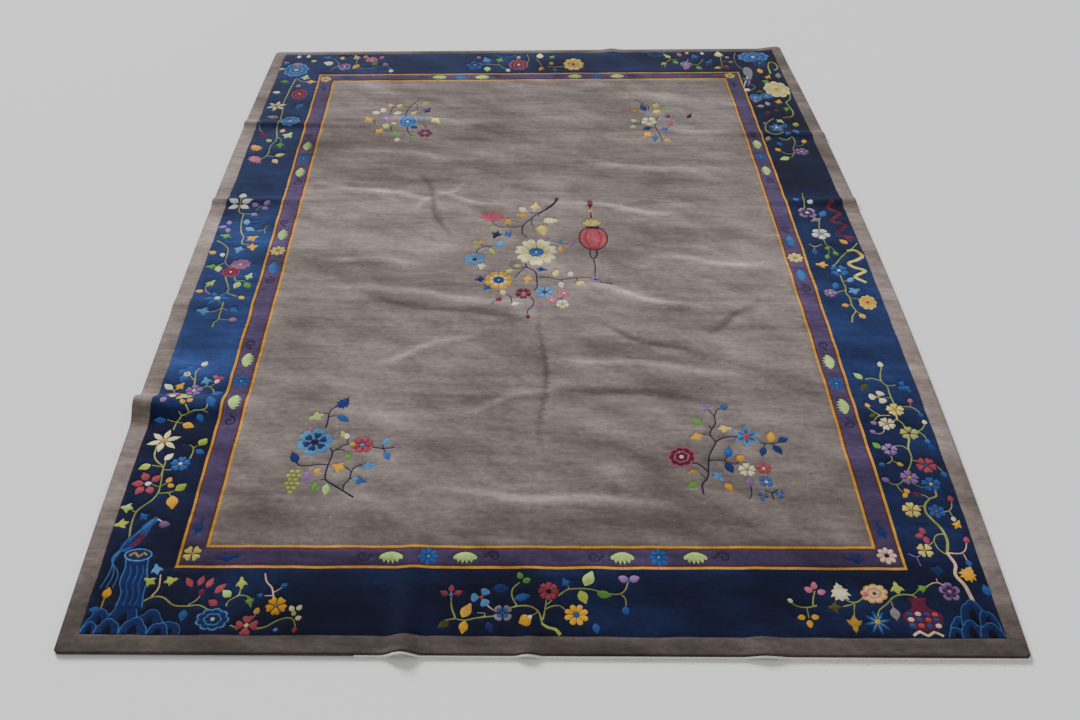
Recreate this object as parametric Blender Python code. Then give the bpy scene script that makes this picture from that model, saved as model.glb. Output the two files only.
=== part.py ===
"""A room-size Chinese Art Deco carpet, hand-knotted in wool, lying on a floor with its folds.

Frame: metres, +Z up, +X across the carpet, +Y along it. The origin is on the floor, under the
middle of the carpet's box. The end at -Y is the worn one, where white cotton warp ends show.

A place on the carpet is written (across, along), as if it were cut and laid out square. lie()
turns that into the place on the floor where the old, slightly stretched carpet really lies, and
lift() says how far its back is off the floor there.
"""

import math
from collections import namedtuple

import bpy

# The carpet as it was woven
HALF_WIDTH = 1.355
NEAR_END = -1.802
FAR_END = 1.778
THICKNESS = 0.012  # foundation and pile together

# How it lies: the ends are a little askew, the sides belly out, and its axis bends a little.
# BOX_CENTRE_Y is where the middle of its box falls, counted along the carpet.
ENDS_SKEW = 0.011
ENDS_SPREAD = 0.0135
SIDE_BELLY = 0.046
BELLY_POWER = 5
AXIS_SWAY = 0.012
BOX_CENTRE_Y = -0.0052

# Folds. Each runs from a place at the carpet's edge to the place where it has died away, and is
# `rise` high at the edge. `width_left` and `width_right` are how far it reaches to either side,
# looking from the edge towards its tip. A larger `fade` dies away sooner.
Fold = namedtuple("Fold", "edge tip rise width_left width_right fade")
LEFT, RIGHT = -HALF_WIDTH, HALF_WIDTH
FOLDS = (
    Fold((LEFT, -0.855), (-0.42, -0.83), 0.043, 0.065, 0.095, 3.0),  # the high one, left side
    Fold((LEFT, 0.375), (-0.80, 0.39), 0.009, 0.050, 0.050, 1.5),  # left side, past the middle
    Fold((LEFT, 1.030), (-0.30, 0.99), 0.008, 0.060, 0.055, 1.3),  # left side, towards the far end
    Fold((LEFT, -0.315), (-0.75, -0.30), 0.006, 0.060, 0.060, 1.5),  # left side, before the middle
    Fold((RIGHT, 0.360), (0.85, 0.35), 0.009, 0.050, 0.050, 1.5),  # right side, past the middle
    Fold((RIGHT, 0.900), (0.40, 0.94), 0.006, 0.060, 0.055, 1.3),  # right side, nearer the far end
    Fold((-0.400, NEAR_END), (-0.375, -1.00), 0.021, 0.060, 0.060, 2.2),  # near end, the ripple
    Fold((-0.050, NEAR_END), (-0.040, -1.45), 0.010, 0.045, 0.045, 2.0),  # near end, by the middle
    Fold((0.610, NEAR_END), (0.590, -1.10), 0.008, 0.070, 0.080, 1.5),  # near end, to the right
    Fold((0.430, FAR_END), (0.430, 1.45), 0.008, 0.060, 0.060, 2.0),  # far end
    Fold((1.320, FAR_END), (1.180, 1.45), 0.011, 0.120, 0.090, 1.6),  # far right corner
)

# Grid of the carpet's two faces
OPEN_STEP = 0.16  # where it lies flat
FOLD_STEP_ALONG = 0.0185  # across a fold that comes from a side
FOLD_STEP_ACROSS = 0.0200  # across a ripple that comes from an end
FADE_STEP = 0.060  # along a fold, towards its tip

# Cotton warp ends along the near end: a web that shows by a few millimetres, and its torn teeth
WEB_START = -0.530
WEB_END = 1.351
WEB_SHOWS = 0.004
WEB_LOW, WEB_HIGH = 0.0008, 0.0036
PIECE_GAP = 0.0003
TOOTH_PITCH = 0.018
TOOTH_WIDTH = 0.013
TOOTH_TAPER = 0.003
GOLDEN = 0.618034  # spreads the teeth's lengths evenly without a pattern
TornSection = namedtuple("TornSection", "start end shortest longest")
TORN_SECTIONS = (
    TornSection(-0.530, -0.390, 0.002, 0.006),
    TornSection(-0.300, -0.212, 0.002, 0.006),
    TornSection(-0.080, -0.035, 0.002, 0.004),
    TornSection(0.190, 0.330, 0.003, 0.007),
    TornSection(0.645, 1.351, 0.004, 0.013),
)


def lie(across, along):
    """The place on the floor of a place on the carpet."""
    side = across / HALF_WIDTH
    end = along / FAR_END
    x = across - AXIS_SWAY * end**2 + SIDE_BELLY * side**BELLY_POWER * (1 - end**2)
    y = along + across * (ENDS_SKEW + ENDS_SPREAD * along)
    return x, y - BOX_CENTRE_Y


def fold_height(fold, across, along):
    run = (fold.tip[0] - fold.edge[0], fold.tip[1] - fold.edge[1])
    length = math.hypot(*run)
    from_edge = (across - fold.edge[0], along - fold.edge[1])
    share = (from_edge[0] * run[0] + from_edge[1] * run[1]) / length**2
    aside = (run[0] * from_edge[1] - run[1] * from_edge[0]) / length  # positive to the left
    width = fold.width_left if aside > 0 else fold.width_right
    if share >= 1 or abs(aside) >= width:
        return 0.0
    profile = 0.5 + 0.5 * math.cos(math.pi * aside / width)
    return fold.rise * profile * (1 - max(share, 0.0)) ** fold.fade


def lift(across, along):
    """How far the carpet's back is off the floor."""
    return max(fold_height(fold, across, along) for fold in FOLDS)


def spaced(low, high, spans):
    """Places from low to high, each span's own step apart inside it and OPEN_STEP elsewhere."""
    ends = {low, high}
    for start, end, _ in spans:
        ends |= {min(max(start, low), high), min(max(end, low), high)}
    cuts = sorted(ends)
    places = [low]
    for start, end in zip(cuts, cuts[1:]):
        middle = (start + end) / 2
        steps = [step for a, b, step in spans if a <= middle <= b]
        count = max(1, round((end - start) / min(steps + [OPEN_STEP])))
        places += [start + (end - start) * (i + 1) / count for i in range(count)]
    return places


def grid_lines():
    """The places across and along where the carpet's grid has its lines, close over the folds."""
    across, along = [], []
    for fold in FOLDS:
        from_side = abs(fold.tip[0] - fold.edge[0]) > abs(fold.tip[1] - fold.edge[1])
        over, down = (1, 0) if from_side else (0, 1)
        low, high = sorted((fold.edge[over], fold.tip[over]))
        reach = max(fold.width_left, fold.width_right)
        step = FOLD_STEP_ALONG if from_side else FOLD_STEP_ACROSS
        (along if from_side else across).append((low - reach, high + reach, step))
        (across if from_side else along).append((*sorted((fold.edge[down], fold.tip[down])), FADE_STEP))
    return spaced(-HALF_WIDTH, HALF_WIDTH, across), spaced(NEAR_END, FAR_END, along)


def material(name, colour, roughness):
    made = bpy.data.materials.new(name)
    made.use_nodes = True
    shader = made.node_tree.nodes["Principled BSDF"]
    shader.inputs["Base Color"].default_value = (*colour, 1)
    shader.inputs["Roughness"].default_value = roughness
    return made


def add_object(name, points, faces, look):
    mesh = bpy.data.meshes.new(name)
    mesh.from_pydata(points, [], faces)
    mesh.validate()
    mesh.materials.append(look)
    made = bpy.data.objects.new(name, mesh)
    bpy.context.scene.collection.objects.link(made)
    return made


def build_carpet(look):
    """One sheet of even thickness: a grid for the back, the same grid for the pile, and a rim."""
    columns, rows = grid_lines()
    wide, deep = len(columns), len(rows)
    back, pile = [], []
    for along in rows:
        for across in columns:
            x, y = lie(across, along)
            height = lift(across, along)
            back.append((x, y, height))
            pile.append((x, y, height + THICKNESS))
    top = wide * deep
    faces = []
    for row in range(deep - 1):
        for column in range(wide - 1):
            a = row * wide + column
            b, c, d = a + 1, a + wide + 1, a + wide
            faces.append((a, d, c, b))
            faces.append((top + a, top + b, top + c, top + d))
    rim = [column for column in range(wide)]
    rim += [row * wide + wide - 1 for row in range(1, deep)]
    rim += [(deep - 1) * wide + column for column in range(wide - 2, -1, -1)]
    rim += [row * wide for row in range(deep - 2, 0, -1)]
    for a, b in zip(rim, rim[1:] + rim[:1]):
        faces.append((a, b, top + b, top + a))
    return add_object("rug", back + pile, faces, look)


def web_outline():
    """(across, how far out it reaches) along the web's torn front edge."""
    outline = [(WEB_START, WEB_SHOWS)]
    tooth = 0
    for section in TORN_SECTIONS:
        count = int((section.end - section.start) / TOOTH_PITCH)
        first = section.start + (section.end - section.start - count * TOOTH_PITCH) / 2
        for i in range(count):
            tooth += 1
            share = tooth * GOLDEN % 1
            long = section.shortest + share * (section.longest - section.shortest)
            left = first + i * TOOTH_PITCH + (TOOTH_PITCH - TOOTH_WIDTH) / 2
            right = left + TOOTH_WIDTH
            outline += [
                (left, WEB_SHOWS),
                (left + TOOTH_TAPER, WEB_SHOWS + long),
                (right - TOOTH_TAPER, WEB_SHOWS + long * (0.7 + 0.3 * share)),
                (right, WEB_SHOWS),
            ]
    return outline + [(WEB_END, WEB_SHOWS)]


def build_warp_ends(look):
    """One comb of cotton along the near end, a hair clear of the carpet's rim."""
    points = []
    for across, out in web_outline():
        x, y = lie(across, NEAR_END)
        height = lift(across, NEAR_END)
        points += [
            (x, y - PIECE_GAP, height + WEB_LOW),
            (x, y - PIECE_GAP, height + WEB_HIGH),
            (x, y - out, height + WEB_HIGH),
            (x, y - out, height + WEB_LOW),
        ]
    faces = [(3, 2, 1, 0)]
    last = len(points) - 4
    for a in range(0, last, 4):
        for corner in range(4):
            following = (corner + 1) % 4
            faces.append((a + corner, a + following, a + 4 + following, a + 4 + corner))
    faces.append((last, last + 1, last + 2, last + 3))
    return add_object("warp_ends", points, faces, look)


def main():
    for old in list(bpy.data.objects):
        bpy.data.objects.remove(old, do_unlink=True)
    build_carpet(material("wool_pile", (0.075, 0.062, 0.085), 0.95))
    build_warp_ends(material("cotton_warp", (0.72, 0.70, 0.62), 0.9))


main()
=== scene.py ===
# The looks of a room-size Chinese Art Deco carpet, hand-knotted in wool, with its folds, its
# figured pile and its torn cotton warp ends.
#
# The design is drawn in centimetres on the carpet as if it were cut and laid out square: `across`
# from its middle line, `along` from its middle, with the worn end at -along. Angles are in degrees,
# 0 towards +across and 90 towards +along. lie() and lift() then lay the drawn carpet on the floor as
# the CAD solid lies, except that four of its side folds stand 3 to 5 mm taller here. Everything else
# is in metres.

import math
import random
from collections import namedtuple

import bpy
import numpy as np
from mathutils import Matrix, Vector, noise
from mathutils.geometry import delaunay_2d_cdt


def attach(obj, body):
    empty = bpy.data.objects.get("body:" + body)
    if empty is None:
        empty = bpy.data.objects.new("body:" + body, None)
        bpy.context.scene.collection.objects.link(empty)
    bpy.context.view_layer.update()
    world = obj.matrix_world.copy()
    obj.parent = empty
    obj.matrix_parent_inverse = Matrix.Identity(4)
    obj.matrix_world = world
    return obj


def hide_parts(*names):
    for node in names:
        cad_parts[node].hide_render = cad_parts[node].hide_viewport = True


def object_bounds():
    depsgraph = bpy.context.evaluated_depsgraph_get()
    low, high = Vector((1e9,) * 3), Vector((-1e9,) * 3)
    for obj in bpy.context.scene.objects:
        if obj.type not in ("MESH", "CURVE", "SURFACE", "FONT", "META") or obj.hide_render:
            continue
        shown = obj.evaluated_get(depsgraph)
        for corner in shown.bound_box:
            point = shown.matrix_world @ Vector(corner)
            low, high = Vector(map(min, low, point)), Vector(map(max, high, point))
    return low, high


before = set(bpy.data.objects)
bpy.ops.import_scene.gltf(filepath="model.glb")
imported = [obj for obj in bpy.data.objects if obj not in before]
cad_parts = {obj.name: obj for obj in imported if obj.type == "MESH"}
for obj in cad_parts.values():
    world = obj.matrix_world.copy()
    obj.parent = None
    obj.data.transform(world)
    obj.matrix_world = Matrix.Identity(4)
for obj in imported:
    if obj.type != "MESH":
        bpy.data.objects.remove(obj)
CAD_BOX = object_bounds()

# ---------------------------------------------------------------- how the carpet lies, in metres
HALF_WIDTH = 1.355
NEAR_END = -1.802
FAR_END = 1.778
THICKNESS = 0.012
ENDS_SKEW = 0.011
ENDS_SPREAD = 0.0135
SIDE_BELLY = 0.046
BELLY_POWER = 5
AXIS_SWAY = 0.012
BOX_CENTRE_Y = -0.0052

Fold = namedtuple("Fold", "edge tip rise width_left width_right fade")
LEFT, RIGHT = -HALF_WIDTH, HALF_WIDTH
FOLDS = (
    Fold((LEFT, -0.855), (-0.42, -0.83), 0.043, 0.065, 0.095, 3.0),
    Fold((LEFT, 0.375), (-0.62, 0.39), 0.013, 0.042, 0.042, 1.5),
    Fold((LEFT, 1.030), (-0.30, 0.99), 0.013, 0.045, 0.042, 1.3),
    Fold((LEFT, -0.315), (-0.75, -0.30), 0.006, 0.060, 0.060, 1.5),
    Fold((RIGHT, 0.360), (0.70, 0.35), 0.012, 0.042, 0.042, 1.5),
    Fold((RIGHT, 0.900), (0.40, 0.94), 0.010, 0.045, 0.042, 1.3),
    Fold((-0.400, NEAR_END), (-0.375, -1.00), 0.021, 0.060, 0.060, 2.2),
    Fold((-0.050, NEAR_END), (-0.040, -1.45), 0.010, 0.045, 0.045, 2.0),
    Fold((0.610, NEAR_END), (0.590, -1.10), 0.008, 0.070, 0.080, 1.5),
    Fold((0.430, FAR_END), (0.430, 1.45), 0.008, 0.060, 0.060, 2.0),
    Fold((1.320, FAR_END), (1.180, 1.45), 0.011, 0.120, 0.090, 1.6),
)

# Creases and welts pressed into the pile, which the floor side doesn't show: soft ridges where
# `rise` is above nought and troughs where it is below, each `width` across, dying at both ends
Crease = namedtuple("Crease", "start end rise width")
CREASES = (
    Crease((0.007, -0.30), (0.00, -1.08), -0.0044, 0.014),
    Crease((0.03, 0.37), (0.60, 0.26), 0.0076, 0.026),
    Crease((-0.50, 0.44), (-0.10, 0.31), 0.0060, 0.028),
    Crease((-1.00, 0.52), (-0.40, 0.36), 0.0066, 0.036),
    Crease((0.15, -0.19), (0.66, -0.37), 0.0066, 0.028),
    Crease((-0.52, 0.62), (-0.37, 0.08), -0.0044, 0.022),
    Crease((-0.55, 0.30), (-0.30, 0.52), 0.0042, 0.024),
    Crease((0.02, -0.62), (0.75, -0.70), 0.0054, 0.034),
    Crease((0.20, -0.44), (0.62, -0.62), -0.0054, 0.024),
    Crease((0.00, -0.76), (0.70, -0.84), -0.0050, 0.030),
    Crease((-0.85, -0.20), (0.05, -0.33), 0.0054, 0.036),
    Crease((-0.70, -0.27), (0.00, -0.42), -0.0044, 0.030),
    Crease((-0.62, -0.66), (-0.20, -0.46), 0.0050, 0.026),
    Crease((-0.40, -1.22), (0.45, -1.30), 0.0050, 0.034),
    Crease((0.42, -0.02), (0.95, -0.10), 0.0050, 0.030),
    Crease((-0.90, 0.80), (-0.25, 0.70), 0.0044, 0.040),
    Crease((-0.95, 1.10), (-0.20, 1.02), 0.0038, 0.036),
    Crease((0.20, 0.66), (0.95, 0.58), 0.0044, 0.036),
    Crease((0.45, 0.98), (0.98, 0.90), 0.0038, 0.036),
    Crease((-0.98, -0.02), (-0.45, -0.06), 0.0048, 0.030),
    Crease((0.60, -0.50), (0.86, -0.30), -0.0042, 0.024),
    Crease((-0.30, -0.90), (0.10, -0.74), 0.0042, 0.024),
)

# Colours of the wool, as sRGB from 0 to 255
DYES = {
    "field": (134, 122, 118),
    "band": (122, 110, 105),
    "navy": (24, 34, 82),
    "midnight": (12, 15, 40),
    "purple": (82, 68, 101),
    "plum": (60, 46, 78),
    "gold": (222, 164, 68),
    "rust": (122, 52, 32),
    "pale_green": (190, 226, 128),
    "yellow_green": (178, 194, 84),
    "green": (104, 156, 70),
    "sage": (160, 168, 92),
    "olive": (84, 84, 46),
    "light_blue": (90, 144, 196),
    "sky": (62, 108, 168),
    "blue": (50, 90, 158),
    "dark_blue": (36, 54, 112),
    "ink": (36, 38, 72),
    "red": (170, 74, 86),
    "maroon": (112, 38, 64),
    "pink": (190, 106, 130),
    "peach": (240, 196, 168),
    "orange": (240, 174, 50),
    "yellow": (226, 206, 112),
    "cream": (238, 230, 180),
    "white": (232, 230, 222),
    "lilac": (142, 106, 156),
    "grey": (142, 132, 136),
    "bronze": (190, 146, 58),
    "rose": (198, 92, 98),
    "stone": (27, 45, 98),
}

# ---------------------------------------------------------------- the ground of the design
# Rectangles laid over each other, from the outer band inwards: left, right, near, far
Ground = namedtuple("Ground", "left right near far dye")
GROUNDS = (
    Ground(-130.0, 130.0, -174.4, 174.4, "navy"),
    Ground(-108.9, 107.9, -152.0, 152.0, "gold"),
    Ground(-108.05, 107.05, -151.15, 151.15, "rust"),
    Ground(-107.7, 106.7, -150.8, 150.8, "purple"),
    Ground(-101.8, 100.6, -145.0, 145.8, "rust"),
    Ground(-101.4, 100.2, -144.6, 145.4, "gold"),
    Ground(-100.5, 99.3, -143.7, 144.5, "field"),
)
GROUND_STEP = 1.3
UNSTEADY = 0.17  # how far the knots stray from the drawn line
NOISE_GAIN = 1.6  # brings the noise up to about 1
STRAY_LENGTH = 9.0

# ---------------------------------------------------------------- the vocabulary of motifs
Patch = namedtuple("Patch", "dye points")
OUTLINE_STEP = 0.85

# Half outlines of leaves, from the stalk at 0 to the tip at 1, and out to half the width at 0.5
HALF_LEAVES = {
    "plain": ((0, 0), (0.10, 0.20), (0.30, 0.46), (0.55, 0.48), (0.80, 0.24), (1, 0)),
    "round": ((0, 0), (0.06, 0.28), (0.28, 0.50), (0.66, 0.50), (0.92, 0.26), (1, 0)),
    "three": (
        (0, 0.04), (0.14, 0.12), (0.30, 0.26), (0.26, 0.50), (0.54, 0.34),
        (0.64, 0.18), (0.82, 0.15), (1, 0),
    ),
    "five": (
        (0, 0.03), (0.12, 0.14), (0.05, 0.34), (0.27, 0.28), (0.25, 0.50), (0.47, 0.33),
        (0.56, 0.42), (0.65, 0.21), (0.78, 0.20), (0.84, 0.09), (1, 0),
    ),
    "peony": (
        (0, 0.04), (0.02, 0.28), (0.18, 0.22), (0.14, 0.47), (0.34, 0.32), (0.38, 0.50),
        (0.52, 0.30), (0.64, 0.40), (0.70, 0.19), (0.86, 0.20), (0.88, 0.08), (1, 0),
    ),
}
HALF_PETALS = {
    "round": ((0.24, 0.10), (0.42, 0.30), (0.64, 0.46), (0.86, 0.42), (0.98, 0.18), (1, 0)),
    "heart": ((0.22, 0.10), (0.42, 0.30), (0.70, 0.50), (0.93, 0.44), (1, 0.22), (0.90, 0)),
    "pointed": ((0.16, 0.10), (0.36, 0.36), (0.60, 0.40), (0.84, 0.18), (1, 0)),
}
PETAL_WIDTH = 1.42  # of the room each petal has on its ring
POINTED_WIDTH = 0.62  # how wide a pointed petal is beside the others
INNER_PETAL = 0.56  # how long and wide the inner colour of a petal is


def turned(points, across, along, turn=0.0):
    """The same outline, turned and moved to its place."""
    c = math.cos(math.radians(turn))
    s = math.sin(math.radians(turn))
    return [(across + c * x - s * y, along + s * x + c * y) for x, y in points]


def whole(half, long, wide):
    """A closed outline from its half, `long` and `wide` over all."""
    left = [(x * long, y * wide) for x, y in half]
    right = [(x, -y) for x, y in reversed(left) if y > 0]
    return left + right


def eased(points, step=OUTLINE_STEP):
    """A closed smooth curve through the points, with a point about every `step`."""
    made = []
    count = len(points)
    for i in range(count):
        a, b, c, d = (Vector(points[(i + k) % count]) for k in (-1, 0, 1, 2))
        parts = max(1, round((c - b).length / step))
        for k in range(parts):
            t = k / parts
            ahead = (c - a) * t + (2 * a - 5 * b + 4 * c - d) * t**2
            made.append(tuple(b + (ahead + (3 * b - a - 3 * c + d) * t**3) / 2))
    return made


def oval(across, along, wide, high, dye, points=None):
    count = points or max(6, round(math.pi * (wide + high) / 2 / OUTLINE_STEP))
    ring = [2 * math.pi * i / count for i in range(count)]
    outline = [(wide / 2 * math.cos(a), high / 2 * math.sin(a)) for a in ring]
    return [Patch(dye, turned(outline, across, along))]


def leaf(row):
    """A leaf centred on its place, its tip pointing along `turn`."""
    outline = eased(whole(HALF_LEAVES[row.shape], row.long, row.wide))
    outline = [(x - row.long / 2, y) for x, y in outline]
    return [Patch(row.dye, turned(outline, row.across, row.along, row.turn))]


def bud(row):
    """A small pointed bud or berry, its tip along `turn`."""
    half = ((0, 0.08), (0.12, 0.34), (0.42, 0.50), (0.74, 0.36), (1, 0))
    outline = eased(whole(half, row.size, row.size * 0.8), 0.6)
    outline = [(x - row.size / 2, y) for x, y in outline]
    return [Patch(row.dye, turned(outline, row.across, row.along, row.turn))]


def flower(row):
    """Petals round a heart. `inner` is a second colour in each petal, `back` shows between them."""
    reach = row.size / 2
    wide = reach * min(1.0, PETAL_WIDTH * math.sin(math.pi / row.petals))
    if row.kind == "pointed":
        wide *= POINTED_WIDTH
    patches = []
    if row.back:
        patches += oval(row.across, row.along, reach * 1.45, reach * 1.45, row.back)
    half = HALF_PETALS[row.kind]
    base = half[0][0] * reach
    for i in range(row.petals):
        turn = row.turn + 360 * i / row.petals
        outline = eased(whole(half, reach, wide))
        patches.append(Patch(row.dye, turned(outline, row.across, row.along, turn)))
        if row.inner:
            inside = [(base + (x - base) * INNER_PETAL, y * INNER_PETAL) for x, y in outline]
            patches.append(Patch(row.inner, turned(inside, row.across, row.along, turn)))
    if row.heart:
        patches += oval(row.across, row.along, reach * 0.44, reach * 0.44, row.heart)
    return patches


def peony(row):
    """A full flower: two tiers of scalloped petals, each with its edge, round a heart."""
    patches = []
    tiers = ((1.0, 9, row.edge), (0.86, 9, row.dye), (0.56, 6, row.edge), (0.44, 6, row.dye))
    for grow, lobes, dye in tiers:
        outline = []
        count = lobes * 6
        for i in range(count):
            a = 2 * math.pi * i / count
            r = grow * (0.84 + 0.16 * abs(math.cos(lobes * a / 2)) ** 0.7)
            outline.append((row.long / 2 * r * math.cos(a), row.wide / 2 * r * math.sin(a)))
        patches.append(Patch(dye, turned(outline, row.across, row.along, row.turn)))
    patches += oval(row.across, row.along, row.wide * 0.18, row.wide * 0.18, row.heart)
    return patches


def ribbon(dye, start_width, end_width, points, step=1.0):
    """A smooth stroke through the points, as a chain of four-cornered patches."""
    line = [Vector(p) for p in points]
    line = [2 * line[0] - line[1], *line, 2 * line[-1] - line[-2]]
    places = []
    for a, b, c, d in zip(line, line[1:], line[2:], line[3:]):
        parts = max(1, round((c - b).length / step))
        for k in range(parts):
            t = k / parts
            ahead = (c - a) * t + (2 * a - 5 * b + 4 * c - d) * t**2
            places.append(b + (ahead + (3 * b - a - 3 * c + d) * t**3) / 2)
    places.append(line[-2])
    sides = []
    for i, place in enumerate(places):
        way = (places[min(i + 1, len(places) - 1)] - places[max(i - 1, 0)]).normalized()
        half = (start_width + (end_width - start_width) * i / (len(places) - 1)) / 2
        aside = Vector((-way.y, way.x)) * half
        sides.append((tuple(place + aside), tuple(place - aside)))
    return [Patch(dye, [a[1], b[1], b[0], a[0]]) for a, b in zip(sides, sides[1:])]


def comb_leaf(across, along, turn, size, dye):
    """The pale leaf of the purple band: a smooth back, and a row of short hanging lobes."""
    back = [(size * (t - 0.5), size * 0.26 * math.sin(math.pi * t) ** 0.7) for t in
            (0.0, 0.08, 0.2, 0.35, 0.5, 0.65, 0.8, 0.92, 1.0)]
    lobes = []
    for i in range(11):
        t = 1 - (i + 0.5) / 11
        deep = 0.34 if i % 2 == 0 else 0.15
        lobes.append((size * (t - 0.5), -size * deep * math.sin(math.pi * t) ** 0.5))
    return [Patch(dye, turned(back + lobes, across, along, turn))]


def spiral(across, along, turn, size, dye, width):
    """A scroll that runs out from its place and curls in on itself."""
    line = [(-size * 1.6, -size * 0.2), (-size * 0.9, size * 0.25)]
    for i in range(11):
        a = math.radians(150 - 42 * i)
        reach = size * (1 - 0.075 * i)
        line.append((reach * math.cos(a), reach * math.sin(a)))
    return ribbon(dye, width, width * 0.7, turned(line, across, along, turn), 0.8)


def rock(across, along, turn, wide, high, phase):
    """A scholar's rock with a scalloped top: a pale edge, a blue face and a darker hollow."""
    patches = []
    for inset, dye in ((0.0, "sky"), (0.42, "stone"), (0.33 * wide, "midnight")):
        outline = []
        count = 30
        for i in range(count + 1):
            a = math.pi * i / count
            scallop = 0.88 + 0.12 * abs(math.sin(2.5 * a + phase)) ** 0.6
            outline.append(((wide / 2 - inset) * scallop * math.cos(a),
                           (high - inset) * scallop * math.sin(a)))
        patches.append(Patch(dye, turned(outline, across, along, turn)))
    return patches


# ---------------------------------------------------------------- what lies where
Stem = namedtuple("Stem", "dye thick thin points")
Leaf = namedtuple("Leaf", "across along turn long wide shape dye")
Bud = namedtuple("Bud", "across along turn size dye")
Flower = namedtuple("Flower", "across along size petals kind turn dye inner heart back")
Peony = namedtuple("Peony", "across along turn long wide dye edge heart")

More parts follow.
